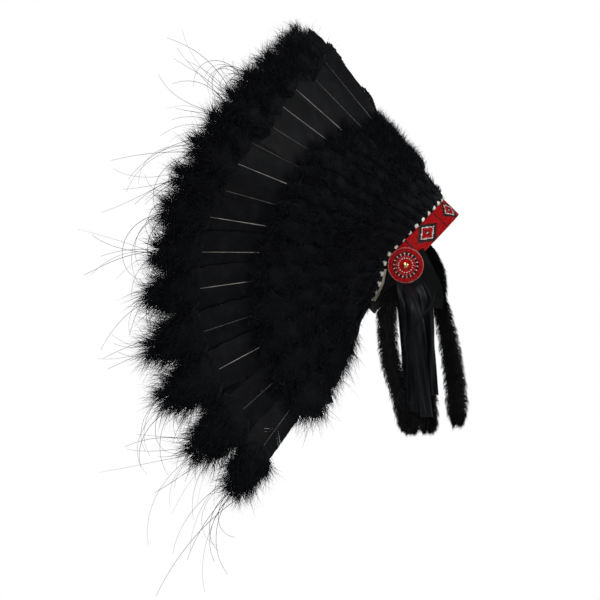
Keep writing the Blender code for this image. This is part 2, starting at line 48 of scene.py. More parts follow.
# The loop, the band on it and the fan, as in the part.
HALF_LENGTH, HALF_WIDTH = 0.106, 0.078
TILT = math.radians(45.5)
BAND_HEIGHT = 0.034
BAND_WALL, STRIP_WALL, CLEARANCE = 0.0025, 0.003, 0.0003
BEAD_RADIUS = 0.003
EDGE_CORD_RADIUS = 0.0018
ROSETTE_RADIUS, ROSETTE_THICKNESS, ROSETTE_ANGLE = 0.028, 0.004, 99.3
PER_SIDE, PITCH, FEATHER_LENGTH, SWEEP = 16, 0.0153, 0.372, 0.012
LOUVRE = 0.0042
FUR_RADIUS, FUR_LENGTH, FUR_FRONT_LENGTH = 0.0145, 0.24, 0.30
STRAP_RADIUS = 0.001
RIBBON_LENGTH, RIBBON_WIDTH = 0.205, 0.019
PANEL = 0.0677
FAN = np.array(
    (
        # number, rise, flare, length, hair
        (0.0, 49.5, 0.0, 1.0, 0.0),
        (1.0, 49.0, 7.0, 0.99, 0.0),
        (2.0, 47.0, 14.0, 0.985, 0.0),
        (4.0, 37.0, 23.0, 1.035, 0.0),
        (5.0, 32.5, 25.5, 1.06, 0.8),
        (6.0, 28.0, 28.0, 1.075, 0.9),
        (8.0, 19.0, 31.0, 1.105, 1.0),
        (10.0, 7.5, 32.0, 1.125, 1.0),
        (12.0, -8.0, 31.0, 1.115, 1.0),
        (14.0, -27.0, 29.0, 1.11, 1.0),
        (15.0, -40.0, 27.0, 1.085, 1.2),
        (16.0, -52.0, 25.0, 1.065, 1.45),
        (17.0, -66.0, 23.0, 1.05, 1.45),
    )
)
BEAD_ROW = np.array(
    ((0.0, 1.0), (0.60, 1.0), (0.66, 0.90), (0.72, 0.72), (0.79, 0.45), (0.87, 0.26), (0.94, 0.15), (1.0, 0.12))
)
# Where the three blades at the front end, as a share of their length.
BARE = {-1: 0.70, 0: 0.58, 1: 0.81}
# Of a feather by its number: the turn of its vanes in degrees, then the width of the rear and the front vane.
VANES = {
    -3: (8, 1.0, 1.0), -2: (0, 1.0, 0.85), -1: (-4, 0.8, 0.55), 0: (40, 0.9, 1.0), 1: (-48, 1.0, 1.0),
    2: (-20, 1.0, 1.0), 3: (-14, 1.0, 1.1), 4: (-5, 1.05, 1.1), 5: (0, 1.05, 1.1), 6: (0, 1.05, 1.05),
}
# By number, as shares of a feather's length: where its lower plume ends, and where its tip starts and ends.
TOPS = ((0, 3, 4, 6, 11, 13, 16), (0.46, 0.475, 0.52, 0.575, 0.575, 0.595, 0.59))
TIPS = ((0, 1, 2, 6, 8, 12, 15, 16), (0.77, 0.77, 0.76, 0.77, 0.80, 0.80, 0.76, 0.79))
ENDS = ((0, 2, 3, 5, 8, 12, 13, 15, 16), (0.92, 0.938, 0.925, 0.935, 0.955, 0.965, 0.985, 0.985, 0.97))
# Materials of a feather piece, in the order of its slots. Hair is down with a slot of its own.
PLUME, VANE, RACHIS, QUILL, HAIR = range(5)
PHASES = 6.28
CORE_SIDES, BARB_POINTS, BLADE_ROWS, HAIR_POINTS = 12, 3, 34, 18
BLADE_COLUMNS = np.array([0.0, 0.22, 0.48, 0.74, 1.0])
# The horsehair stays in front of the first of these and above the second.
HAIR_REAR, HAIR_LOWEST = -0.496, -0.482
SEED_BEAD_PITCH, RAYS, ROSETTE_RINGS = 0.00192, 18, 15
SATIN_THICKNESS, RIBBON_COLUMNS = 0.0004, 15
FLOOR_HEIGHT = -0.98
PHOTO_WIDTH, METRES_A_PIXEL, CAMERA_DISTANCE, NEAR_SIDE, SENSOR = 600, 0.00155, 2.3, 0.085, 36.0

FULL_TURN = 2 * math.pi
AHEAD = np.array([1.0, 0.0, 0.0])
DOWNWARDS, UPWARDS = np.array([0.0, 0.0, -1.0]), np.array([0.0, 0.0, 1.0])
LEFT = np.array([0.0, 1.0, 0.0])
FORWARD = np.array([math.cos(TILT), 0.0, math.sin(TILT)])
CROWN = np.array([-math.sin(TILT), 0.0, math.cos(TILT)])
RIGHT = np.array([0.0, -1.0, 0.0])
STRIP_OFFSET = -(BAND_WALL + CLEARANCE)
BEAD_OFFSET = STRIP_OFFSET + CLEARANCE + BEAD_RADIUS
BEAD_HEIGHT = BAND_HEIGHT + CLEARANCE + BEAD_RADIUS


def unit(vectors):
    vectors = np.asarray(vectors, float)
    return vectors / np.maximum(np.linalg.norm(vectors, axis=-1, keepdims=True), 1e-12)


def around(turn, first, second):
    """Directions at these turns from first towards second."""
    turn = np.asarray(turn, float)[..., None]
    return np.cos(turn) * first + np.sin(turn) * second


def circle(count, start=0.0):
    return FULL_TURN * (np.arange(count) + start) / count


def run_along(path):
    """The distance along a path at each of its points."""
    return np.concatenate([[0.0], np.cumsum(np.linalg.norm(np.diff(path, axis=0), axis=1))])


def between(places, known, rows):
    """Points of rows, which are given at the known places, at other places."""
    return np.stack([np.interp(places, known, rows[:, k]) for k in range(3)], axis=-1)


def by_number(number, table):
    return float(np.interp(abs(number), *table))


def sides_and_turns(angles):
    """Signed angles on the loop as a side, 1 for the wearer's right, and an angle from the front."""
    return np.where(angles >= 0, 1.0, -1.0), np.abs(angles)


ANGLES = np.linspace(0.0, math.pi, 721)
ARCS = run_along(np.stack([HALF_LENGTH * np.cos(ANGLES), HALF_WIDTH * np.sin(ANGLES)], axis=1))


def loop_normal(angle, side=1):
    angle, side = np.broadcast_arrays(np.asarray(angle, float), side)
    flat = unit(np.stack([np.cos(angle) / HALF_LENGTH, np.sin(angle) / HALF_WIDTH], axis=-1))
    return flat[..., :1] * FORWARD + (side * flat[..., 1])[..., None] * RIGHT


def loop_point(angle, offset, height, side=1):
    """A point on the loop, moved outwards by offset and towards the crown by height."""
    angle, side = np.broadcast_arrays(np.asarray(angle, float), side)
    ring = (HALF_LENGTH * np.cos(angle))[..., None] * FORWARD
    ring = ring + (side * HALF_WIDTH * np.sin(angle))[..., None] * RIGHT
    offset = np.asarray(offset, float)[..., None]
    return ring + offset * loop_normal(angle, side) + np.asarray(height, float)[..., None] * CROWN


def bead_height(angle):
    back = (1.0 - np.cos(angle)) / 2
    return BEAD_HEIGHT * np.interp(back, BEAD_ROW[:, 0], BEAD_ROW[:, 1])


def feather_angle(number):
    return float(np.interp(abs(number) * PITCH, ARCS, ANGLES))


def side_of(number):
    return -1 if number < 0 else 1


def bead_centre(number):
    angle = feather_angle(number)
    return loop_point(angle, BEAD_OFFSET, bead_height(angle), side_of(number))


def fan_value(number, column):
    return float(np.interp(abs(number), FAN[:, 0], FAN[:, column]))


def feather_direction(number):
    rise, flare = math.radians(fan_value(number, 1)), math.radians(fan_value(number, 2))
    back = -math.cos(rise) * math.cos(flare)
    return np.array([back, -side_of(number) * math.sin(flare), math.sin(rise) * math.cos(flare)])


def fan_normal(number, along):
    along = np.asarray(along, float)[..., None]
    before = bead_centre(number - 1) + along * feather_direction(number - 1)
    after = bead_centre(number + 1) + along * feather_direction(number + 1)
    return unit(np.cross(np.broadcast_to(feather_direction(number), after.shape), after - before))


def feather_line(number, along):
    along = np.asarray(along, float)
    bend = (SWEEP * (along / FEATHER_LENGTH) ** 2)[..., None]
    return bead_centre(number) + along[..., None] * feather_direction(number) + bend * fan_normal(number, along)


class Shaft:
    """A feather's centre line, with its direction, the way across the fan and the fan's outward normal."""

    def __init__(self, number):
        self.number = number
        self.length = FEATHER_LENGTH * fan_value(number, 3)
        self.along = np.linspace(0.0, self.length * 1.05, 90)
        points = feather_line(number, self.along)
        if number < 0:
            lean = (0.5 * (self.along / self.length) ** 1.5)[:, None]
            points = (1 - lean) * points + lean * feather_line(number + 1, self.along)
        tangent = unit(np.gradient(points, axis=0))
        across = unit(np.cross(fan_normal(number, self.along), tangent))
        self.rows = np.stack([points, tangent, across, np.cross(tangent, across)])
        gap = feather_line(number + 1, self.along) - feather_line(number - 1, self.along)
        self.gap = np.linalg.norm(gap, axis=1) / 2

    def at(self, along):
        """Point, direction, across and normal at these distances."""
        return [between(np.asarray(along, float), self.along, row) for row in self.rows]

    def pitch(self, along):
        return np.interp(along, self.along, self.gap)


class Batch:
    """Vertices and faces of one piece, gathered before the mesh is made."""

    def __init__(self):
        self.points, self.faces, self.slots, self.uvs, self.count = [], [], [], [], 0

    def add(self, points, faces, slot=0, uv=None, tips=None):
        """Points, the faces between them and, where given, more faces with another number of corners."""
        points = np.asarray(points, float).reshape(-1, 3)
        self.points.append(points)
        self.uvs.append(np.zeros((len(points), 2)) if uv is None else np.asarray(uv, float).reshape(-1, 2))
        for group in (faces,) if tips is None else (faces, tips):
            self.faces.append(np.asarray(group, int) + self.count)
            self.slots.append(np.broadcast_to(np.asarray(slot, int), (len(group),)))
        self.count += len(points)

    def piece(self, name, materials, nodes):
        points, uvs = np.concatenate(self.points), np.concatenate(self.uvs)
        corners = np.concatenate([f.reshape(-1) for f in self.faces])
        sizes = np.concatenate([np.full(len(f), f.shape[1]) for f in self.faces])
        starts = np.concatenate([[0], np.cumsum(sizes)[:-1]])
        mesh = bpy.data.meshes.new(name)
        mesh.vertices.add(len(points))
        mesh.vertices.foreach_set("co", points.astype(np.float32).ravel())
        mesh.loops.add(len(corners))
        mesh.loops.foreach_set("vertex_index", corners.astype(np.int32))
        mesh.polygons.add(len(sizes))
        mesh.polygons.foreach_set("loop_start", starts.astype(np.int32))
        mesh.polygons.foreach_set("material_index", np.concatenate(self.slots).astype(np.int32))
        mesh.polygons.foreach_set("use_smooth", np.full(len(sizes), True))
        layer = mesh.uv_layers.new(name="UVMap")
        layer.data.foreach_set("uv", uvs[corners].astype(np.float32).ravel())
        mesh.update(calc_edges=True)
        for material in materials:
            mesh.materials.append(material)
        item = new_object(name, mesh)
        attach(item, "root")
        if nodes:
            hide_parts(*nodes)
        return item


def new_object(name, data):
    item = bpy.data.objects.new(name, data)
    bpy.context.scene.collection.objects.link(item)
    return item


def faces_between(rows, columns, closed=True):
    """Quads between rows of as many points, numbered row after row. Closed rows make a tube."""
    k = np.arange(columns if closed else columns - 1)
    after = (k + 1) % columns
    low = np.arange(rows - 1)[:, None] * columns
    return np.stack([low + k, low + after, low + columns + after, low + columns + k], axis=-1).reshape(-1, 4)


def uv_grid(across, along):
    return np.stack(np.broadcast_arrays(across[None, :], along[:, None]), axis=-1)


def tube_frame(path):
    """Two directions square to a path at each point, without twist jumps."""
    tangent = unit(np.gradient(path, axis=0))
    start = UPWARDS if abs(tangent[0, 2]) < 0.9 else AHEAD
    last = unit(start - tangent[0] * (start @ tangent[0]))
    first = []
    for t in tangent:
        last = unit(last - t * (last @ t))
        first.append(last)
    return np.array(first), np.cross(tangent, first)


def add_caps(batch, first, last, faces, slot=0):
    """The same faces over a tube's first ring and, turned over, its last."""
    batch.add(first, faces, slot)
    batch.add(last, faces[:, ::-1], slot)


def add_tube(batch, path, radii, sides, slot, cap=True):
    path = np.asarray(path, float)
    first, second = tube_frame(path)
    turn = circle(sides)
    radii = np.broadcast_to(np.asarray(radii, float), (len(path),))
    rings = path[:, None] + radii[:, None, None] * around(turn, first[:, None], second[:, None])
    batch.add(rings, faces_between(len(path), sides), slot, uv_grid(turn / FULL_TURN, run_along(path)))
    if cap:
        k = np.arange(sides)
        fan = np.stack([np.full(sides, sides), (k + 1) % sides, k], axis=-1)
        add_caps(batch, np.vstack([rings[0], path[0]]), np.vstack([rings[-1], path[-1]]), fan, slot)


def smooth_route(rows, steps):
    """A smooth curve through the rows, with this many steps from each to the next."""
    rows = np.asarray(rows, float)
    ends = np.vstack([2 * rows[0] - rows[1], rows, 2 * rows[-1] - rows[-2]])
    t = (np.arange(steps) / steps)[:, None]
    route = []
    for p0, p1, p2, p3 in zip(ends, ends[1:], ends[2:], ends[3:]):
        square = (2 * p0 - 5 * p1 + 4 * p2 - p3) * t * t
        cube = (3 * p1 - p0 - 3 * p2 + p3) * t**3
        route.append(0.5 * (2 * p1 + (p2 - p0) * t + square + cube))
    return np.vstack([*route, rows[-1:]])


def add_strands(batch, paths, widths, rng):
    """Thin pointed strips along paths of (strands, points, 3), each turned its own way."""
    count, points = paths.shape[:2]
    tangent = unit(np.gradient(paths, axis=1))
    flat = np.cross(tangent, unit(rng.normal(size=(count, 1, 3))))
    flat = unit(flat) * widths[..., None] / 2
    pairs = np.stack([(paths - flat)[:, :-1], (paths + flat)[:, :-1]], axis=2).reshape(count, -1, 3)
    verts = np.concatenate([pairs, paths[:, -1:]], axis=1)
    per = 2 * points - 1
    k = np.arange(points - 2) * 2
    quads = np.stack([k, k + 1, k + 3, k + 2], axis=-1)
    base = np.arange(count)[:, None, None] * per
    tips = base + np.array([[per - 3, per - 2, per - 1]])
    tone = np.repeat(rng.random(count)[:, None], per, axis=1)
    run = np.append(np.repeat(np.linspace(0, 1, points)[:-1], 2), 1.0)
    uv = np.stack(np.broadcast_arrays(tone, run[None, :]), axis=-1)
    batch.add(verts, (quads + base).reshape(-1, 4), 0, uv, tips.reshape(-1, 3))


class Finish:
    """A material with a Principled shader, and short ways to add nodes to it."""

    def __init__(self, name, roughness, specular=0.5, metallic=0.0):
        self.material = bpy.data.materials.new(name)
        self.material.use_nodes = True
        self.tree = self.material.node_tree
        self.shader = self.tree.nodes["Principled BSDF"].inputs
        self.shader["Roughness"].default_value = roughness
        self.shader["Metallic"].default_value = metallic
        self.shader["Specular IOR Level"].default_value = specular

    def node(self, kind, output, **values):
        return add_node(self.tree, kind, **values).outputs[output]

    def maths(self, operation, *values):
        made = add_node(self.tree, "Math", operation=operation)
        for socket, value in zip(made.inputs, values):
            put(self.tree, socket, value)
        return made.outputs[0]

    def noise(self, scale, detail, roughness=0.5):
        where = self.node("TexCoord", "Object")
        return self.node("TexNoise", "Fac", Vector=where, Scale=scale, Detail=detail, Roughness=roughness)

    def uv(self, axis):
        return self.node("SeparateXYZ", axis, Vector=self.node("UVMap", "UV", uv_map="UVMap"))

    def ramp(self, source, *stops):
        """The colours at these places of a value from 0 to 1, and between them."""
        made = add_node(self.tree, "ValToRGB", Fac=source)
        elements = made.color_ramp.elements
        while len(elements) < len(stops):
            elements.new(0.5)
        for element, (place, colour) in zip(elements, stops):
            element.position = place
            element.color = (*colour, 1.0)
        return made.outputs["Color"]

    def colour(self, *values):
        """The base colour: an output, or a value and the stops of a ramp."""
        put(self.tree, self.shader["Base Color"], values[0] if len(values) == 1 else self.ramp(*values))

    def bump(self, height, strength, distance):
        normal = self.node("Bump", "Normal", Height=height, Strength=strength, Distance=distance)
        put(self.tree, self.shader["Normal"], normal)

    def sheen(self, weight, roughness):
        self.shader["Sheen Weight"].default_value = weight
        self.shader["Sheen Roughness"].default_value = roughness


def put(tree, socket, value):
    """Links an output to a socket, or sets a number or colour on it."""
    if isinstance(value, bpy.types.NodeSocket):
        tree.links.new(value, socket)
    else:
        socket.default_value = value


def add_node(tree, kind, **values):
    """A new shader node. Values go to its properties or inputs of that name."""
    made = tree.nodes.new("ShaderNode" + kind)
    for key, value in values.items():
        if hasattr(made, key):
            setattr(made, key, value)
        else:
            put(tree, made.inputs[key], value)
    return made


def down_material():
    finish = Finish("feather_down", 0.62, 0.08)
    tone = finish.maths("MULTIPLY", finish.uv("X"), finish.noise(34.0, 3.0))
    finish.colour(
        tone, (0.0, (0.0010, 0.0012, 0.0017)), (0.3, (0.0021, 0.0025, 0.0034)), (0.75, (0.0062, 0.0074, 0.0098))
    )
    finish.sheen(0.05, 0.5)
    finish.shader["Sheen Tint"].default_value = (0.55, 0.58, 0.68, 1.0)
    return finish.material


def blade_material():
    """Glossy barbs: fine slanting lines over a cloudy black, with painted shade, as the lines are darker in the
    troughs between the barbs.
    """
    finish = Finish("feather_blade", 0.48, 0.075)
    cloud = finish.noise(60.0, 4.0)
    lines = finish.maths("MULTIPLY", finish.uv("Y"), 900.0)
    wave = finish.maths("SINE", finish.maths("MULTIPLY_ADD", cloud, 6.0, lines))
    tone = finish.ramp(
        cloud, (0.25, (0.0008, 0.0010, 0.0014)), (0.5, (0.0022, 0.0025, 0.0033)), (0.75, (0.0058, 0.0062, 0.0075))
    )
    # Painted shade between the barbs: the tone is multiplied by the bump's wave, to as little as 0.68 of itself in its
    # troughs.
    mixed = add_node(finish.tree, "Mix", data_type="RGBA", blend_type="MULTIPLY")
    for place, value in ((0, 1.0), (6, tone), (7, finish.maths("MULTIPLY_ADD", wave, 0.16, 0.84))):
        put(finish.tree, mixed.inputs[place], value)
    finish.colour(mixed.outputs[2])
    finish.bump(wave, 0.10, 0.0001)
    return finish.material


def thread_material(name, colour, turns, roughness=0.7):
    """Thread wound round or along something: fine ridges square to the run of a tube, with painted shade, as the
    troughs of the ridges take a darker copy of the thread's colour.
    """
    finish = Finish(name, roughness, 0.3)
    lines = finish.maths("MULTIPLY", finish.uv("Y"), turns)
    wave = finish.maths("SINE", finish.maths("MULTIPLY_ADD", finish.uv("X"), FULL_TURN, lines))
    # Painted shade in the grooves: the low tone is the thread's colour at 0.45, laid where the ridge wave is lowest.
    low = tuple(c * 0.45 for c in colour)
    finish.colour(finish.maths("MULTIPLY_ADD", wave, 0.5, 0.5), (0.1, low), (0.7, colour))
    finish.bump(wave, 0.7, 0.0003)
    return finish.material


def bead_material(name, dark, light, roughness=0.38, specular=0.25):
    """Glass seed beads: each bead takes its own tone from its UV."""
    finish = Finish(name, roughness, specular)
    finish.colour(finish.uv("X"), (0.0, dark), (1.0, light))
    finish.bump(finish.noise(900.0, 2.0), 0.15, 0.0002)
    return finish.material


def cloudy_material(name, dark, light, noise, relief, places=(0.3, 0.7), **shader):
    """Two tones in soft noise. Relief is the strength and distance of a bump from the same noise."""
    finish = Finish(name, **shader)
    cloud = finish.noise(*noise)
    finish.colour(cloud, (places[0], dark), (places[1], light))
    if relief:
        finish.bump(cloud, *relief)
    return finish


def shaft_material(name, dark, light):
    return cloudy_material(name, dark, light, (45.0, 3.0), (0.3, 0.0003), (0.35, 0.65), roughness=0.32).material


def felt_material(name, dark, light):
    finish = cloudy_material(name, dark, light, (900.0, 6.0, 0.75), (0.8, 0.0006), roughness=0.92, specular=0.2)
    finish.sheen(0.04, 0.6)
    return finish.material


def fur_material():
    finish = Finish("rabbit_fur", 0.6, 0.12)
    tones = (0.0, (0.0012, 0.0012, 0.0015)), (0.6, (0.0030, 0.0031, 0.0036)), (1.0, (0.009, 0.009, 0.0105))
    finish.colour(finish.uv("X"), *tones)
    return finish.material


def satin_material():
    """A fine weave that is smooth enough to shine."""
    dark, light = (0.0010, 0.0012, 0.0018), (0.0030, 0.0037, 0.0056)
    finish = cloudy_material("satin", dark, light, (40.0, 3.0), None, roughness=0.38, specular=0.13)
    ribs, weft = (
        finish.maths("SINE", finish.maths("MULTIPLY", finish.uv(axis), scale))
        for axis, scale in (("X", 9000.0), ("Y", 5000.0))
    )
    finish.bump(finish.maths("ADD", ribs, weft), 0.3, 0.0001)
    finish.sheen(0.02, 0.5)
    return finish.material


def leather_material():
    dark, light = (0.0009, 0.0011, 0.0012), (0.0028, 0.0034, 0.0036)
    finish = cloudy_material("strap_leather", dark, light, (90.0, 4.0), None, roughness=0.50, specular=0.07)
    cells = finish.node("TexVoronoi", "Distance", Vector=finish.node("TexCoord", "Object"), Scale=900.0)
    finish.bump(cells, 0.35, 0.0003)
    return finish.material


DOWN = down_material()
BLADE = blade_material()
SHAFT_DARK = shaft_material("shaft_grey", (0.012, 0.012, 0.012), (0.05, 0.050, 0.047))
SHAFT_LIGHT = shaft_material("shaft_cream", (0.08, 0.078, 0.072), (0.27, 0.26, 0.235))
WRAP = thread_material("quill_wrap", (0.022, 0.022, 0.024), 9000.0)
CORD = thread_material("cord_twist", (0.66, 0.60, 0.47), 5200.0, 0.85)
RED = bead_material("red_glass", (0.30, 0.0015, 0.0035), (0.56, 0.003, 0.006), 0.42, 0.12)
BLACK = bead_material("black_glass", (0.003, 0.003, 0.004), (0.010, 0.010, 0.011), 0.3, 0.25)
WHITE = bead_material("white_glass", (0.56, 0.54, 0.48), (0.82, 0.80, 0.75))
PINK = bead_material("pale_red_glass", (0.34, 0.06, 0.065), (0.50, 0.17, 0.16), 0.45, 0.15)
FELT = felt_material("black_wool_felt", (0.0010, 0.0010, 0.0013), (0.0036, 0.0036, 0.0042))
STITCH = thread_material("stitch_thread", (0.05, 0.05, 0.054), 9000.0)
BACKING = felt_material("band_backing", (0.10, 0.008, 0.010), (0.22, 0.018, 0.02))
FUR = fur_material()
SATIN = satin_material()
LEATHER = leather_material()
BRASS = cloudy_material(
    "polished_brass", (0.55, 0.35, 0.12), (0.82, 0.62, 0.30), (700.0, 3.0), (0.2, 0.0002),
    roughness=0.24, metallic=1.0,
).material


def add_core(batch, shaft, rng, low, high, half, depth, rings=20, shift=0.0, sink=0.0):
    """The dark lumpy middle of a plume: a solid stand-in for its dense down, kept dark by painted shade, as it takes
    only the darkest tones of the down. Half width and depth are read at shares from low to high.
    """
    shares = np.linspace(low, high, rings)
    turn = circle(CORE_SIDES)
    point, tangent, across, normal = (v[:, None] for v in shaft.at(shares * shaft.length))
    wide, deep = half(shares)[:, None], depth(shares)[:, None]
    phase = rng.random(4) * PHASES
    lumps = 1.0 + 0.14 * np.sin(shares[:, None] * 90 + 2 * turn + phase[0])
    lumps = lumps + 0.12 * np.sin(shares[:, None] * 61 - 3 * turn + phase[1])
    lumps = lumps * (1.0 + rng.normal(size=(rings, CORE_SIDES)) * 0.06)
    high_side = np.sign(np.sin(turn)) * np.abs(np.sin(turn)) ** 0.6
    ring = (
        point
        - sink * normal
        + (wide * (lumps * np.cos(turn) + shift))[..., None] * across
        + (deep * lumps * high_side)[..., None] * normal
        + (rng.normal(size=(rings, CORE_SIDES)) * 0.0016)[..., None] * tangent
    )
    # Painted shade inside the plume: the core's tones come from only the darkest part of the down's ramp.
    uv = np.stack([rng.random((rings, CORE_SIDES)) * 0.35, np.zeros((rings, CORE_SIDES))], axis=-1)
    batch.add(ring, faces_between(rings, CORE_SIDES), PLUME, uv)


def add_fluff(
    batch, shaft, rng, low, high, half, depth, tufts, each, reach, first, last, width,
    favour=None, shift=0.0, edges=0.0, outer=1.0, sink=0.0,
):
    """Down that grows out of a plume's core in soft tufts and bends towards the feather's tip.

    First and last are the ranges of the angle between a barb and the shaft, in degrees, at its root and
    its end. Favour is a turn about the shaft where more tufts grow, and edges is the share of the tufts
    that grow at the plume's two edges.
    """
    place = low + (high - low) * ((np.arange(tufts) + rng.random(tufts)) / tufts) ** outer
    turn = rng.random(tufts) * FULL_TURN
    brim = rng.random(tufts) < edges
    turn = np.where(brim, np.where(turn < math.pi, 0.0, math.pi) + rng.normal(size=tufts) * 0.5, turn)
    if favour is not None:
        some = rng.random(tufts) < 0.35
        turn = np.where(some, favour + rng.normal(size=tufts) * 0.6, turn)
    long = reach * rng.uniform(0.66, 1.12, tufts)
    begin = np.radians(rng.uniform(*first, tufts))
    finish = np.radians(rng.uniform(*last, tufts))
    sway = rng.normal(size=tufts) * 0.6
    k = np.repeat(np.arange(tufts), each)
    many = len(k)
    loose_on = rng.normal(size=many) * 0.0052
    loose_round = rng.normal(size=many) * 0.42
    share = np.clip(place[k] + loose_on / shaft.length, low, high)
    point, tangent, across, normal = shaft.at(share * shaft.length)
    round_ = turn[k] + loose_round
    wide, deep = half(share), depth(share)
    root = (wide * (np.cos(round_) * 0.84 + shift))[:, None] * across
    root = root + (deep * np.sin(round_) * 0.72 - sink)[:, None] * normal
    out = unit(around(round_, across / np.maximum(wide, 0.003)[:, None], normal / np.maximum(deep, 0.003)[:, None]))
    out = unit(0.45 * out + 0.55 * unit(around(round_, across, normal)))
    beside = np.cross(tangent, out)
    steps = np.linspace(0.0, 1.0, BARB_POINTS)
    middle = (steps[1:] + steps[:-1]) / 2
    start_angle = begin[k] + rng.normal(size=many) * 0.24
    end_angle = finish[k] + rng.normal(size=many) * 0.48
    length = long[k] * (0.35 + 0.75 * rng.random(many) ** 1.3)
    angle = start_angle[:, None] + (end_angle - start_angle)[:, None] * middle
    step = (length / (BARB_POINTS - 1))[:, None]
    go_out, go_on = (
        np.concatenate([np.zeros((many, 1)), np.cumsum(part, axis=1)], axis=1) * step
        for part in (np.sin(angle), np.cos(angle))
    )
    swing = rng.normal(size=(3, many, 1)) * 0.0024 * np.sin(
        steps * (2.0 + 4.0 * rng.random((3, many, 1))) + PHASES * rng.random((3, many, 1))
    ) * steps
    go_on = go_on - 0.30 * loose_on[:, None] * steps + swing[0]
    go_beside = ((sway[k] + rng.normal(size=many) * 0.3) * length)[:, None] * 0.6 * steps**1.6
    go_beside = go_beside - 0.3 * (loose_round * 0.01)[:, None] * steps + swing[1]
    paths = (
        (point + root)[:, None]
        + (go_out + swing[2])[..., None] * out[:, None]
        + go_on[..., None] * tangent[:, None]
        + go_beside[..., None] * beside[:, None]
    )
    paths[..., 2] -= (0.05 * length)[:, None] * steps**2
    taper = np.interp(steps, (0.0, 0.35, 0.7, 1.0), (1.0, 0.9, 0.6, 0.2))
    add_strands(batch, paths, width * taper[None, :] * rng.uniform(0.55, 1.15, (many, 1)), rng)


def blade_half(share):
    """Half of a blade's width at a share of the feather's length."""
    return np.interp(
        share,
        (0.10, 0.16, 0.30, 0.46, 0.60, 0.70, 0.80, 0.88, 0.94, 0.985),
        (0.003, 0.009, 0.020, 0.027, 0.0305, 0.031, 0.0285, 0.021, 0.013, 0.004),
    )


def vane_width(number, side, shares):
    """Half width of one vane: the bare blades at the front have edges of their own."""
    if number == 0:
        return np.interp(shares, (0.38, 0.46, 0.52, 0.56, 0.58), (0.018, 0.024, 0.025, 0.019, 0.010))
    if number == -1:
        return blade_half(shares * 0.97 / BARE[-1]) * 0.9
    if number == 1 and side < 0:
        places, widths = (0.54, 0.60, 0.66, 0.72, 0.78, 0.81), (0.0005, 0.005, 0.0135, 0.0185, 0.018, 0.0125)
        return np.interp(shares, places, widths)
    if number == 1:
        return np.interp(shares, (0.40, 0.60, 0.72, 0.78, 0.81), (0.026, 0.028, 0.022, 0.014, 0.006))
    return blade_half(shares)


def add_blade(batch, shaft, rng, start, end, sides, twist, split=0.0):
    """The flat vane: barbs in slanting bands, with a few gaps that open towards the edge."""
    length = shaft.length
    shares = np.linspace(start, end, BLADE_ROWS + 1)
    columns = BLADE_COLUMNS
    faces = faces_between(2, len(columns), closed=False)
    for side, part in ((-1.0, sides[0]), (1.0, sides[1])):
        half = vane_width(shaft.number, side, shares) * part
        edge = half * (1.0 + rng.normal(size=BLADE_ROWS + 1) * 0.02)
        open_ = split * (shares[:-1] < start + (end - start) * 0.72)
        gap = np.where(rng.random(BLADE_ROWS) < 0.05 + 0.6 * open_, rng.uniform(0.3, 1.0, BLADE_ROWS), 0.0)
        gap = gap * (0.0009 + 0.0040 * open_)
        for k in range(BLADE_ROWS):
            band = []
            for row, shift in ((k, gap[k]), (k + 1, -gap[k] * 0.4)):
                out = edge[row if split == 0 else k] * columns
                on = shares[row] * length + 0.62 * out + 4.0 * out**2 + shift * columns**1.4
                on = np.minimum(on, end * length + 0.013)
                point, _, flat, face = shaft.at(on)
                turned = twist * np.clip((on / length - start) / 0.15, 0.0, 1.0)
                across, normal = around(turned, flat, face), around(turned, face, -flat)
                up = -0.7 * LOUVRE * side * side_of(shaft.number) * out / shaft.pitch(on)
                up = up - 0.05 * out * columns + 0.0006
                band.append(point + (side * out)[:, None] * across + up[:, None] * normal)
            uv = uv_grid(columns * side, shares[k : k + 2] * length)
            batch.add(np.array(band), faces if side > 0 else faces[:, ::-1], VANE, uv)


def add_shaft(batch, shaft, end):
    """The rachis, proud of both faces of the blade, and the wrapped quill at its foot."""
    length = shaft.length
    along = np.linspace(0.0032, 0.125 * length, 30)
    swell = 0.0030 + 0.00022 * np.sin(along * 2600.0)
    swell[0] *= 0.7
    add_tube(batch, shaft.at(along)[0], swell, 8, QUILL)
    along = np.linspace(0.115 * length, end * length, 26)
    point, _, _, normal = shaft.at(along)
    share = (along - along[0]) / (along[-1] - along[0])
    add_tube(batch, point + normal * 0.0004, 0.0011 * (1 - share) ** 0.9 + 0.00024, 6, RACHIS)


def add_hair(batch, shaft, rng, share):
    """Horsehair from the tip: a loose lock of long strands that leave it together, fall and curl."""
    steps = np.linspace(0.0, 1.0, HAIR_POINTS)
    droop, curl, lean = rng.uniform(0.45, 1.1), rng.normal() * 1.1, rng.normal() * 0.3
    for _ in range(int(rng.integers(6, 11)) + (3 if share > 1.1 else 0)):
        reach = 0.150 * share * rng.uniform(0.35, 1.0)
        root = np.array([shaft.length * rng.uniform(0.93, 0.99)])
        point, tangent, across, normal = (v[0] for v in shaft.at(root))
        point = point + across * rng.normal() * 0.008 + normal * rng.normal() * 0.004
        fall = np.clip(steps**1.1 * (droop + rng.normal() * 0.22), 0.0, 1.2)[:, None]
        turn = lean + rng.normal() * 0.16 + (curl + rng.normal() * 0.55) * steps**1.6
        way = (1.0 - 0.75 * fall) * tangent + fall * np.array([-0.22, 0.0, -0.95]) + 0.10 * rng.normal() * normal
        way = unit(around(turn, unit(way), unit(np.cross(normal, way))))
        run = np.concatenate([np.zeros((1, 3)), np.cumsum(way[1:], axis=0)]) * reach / (HAIR_POINTS - 1)
        room = min(
            (point[0] - HAIR_REAR) / max(-run[:, 0].min(), 1e-6),
            (point[2] - HAIR_LOWEST) / max(-run[:, 2].min(), 1e-6),
            1.0,
        )
        radii = np.linspace(0.00048, 0.00020, HAIR_POINTS) * rng.uniform(0.6, 1.2)
        add_tube(batch, point + run * room, radii, 3, HAIR, cap=False)


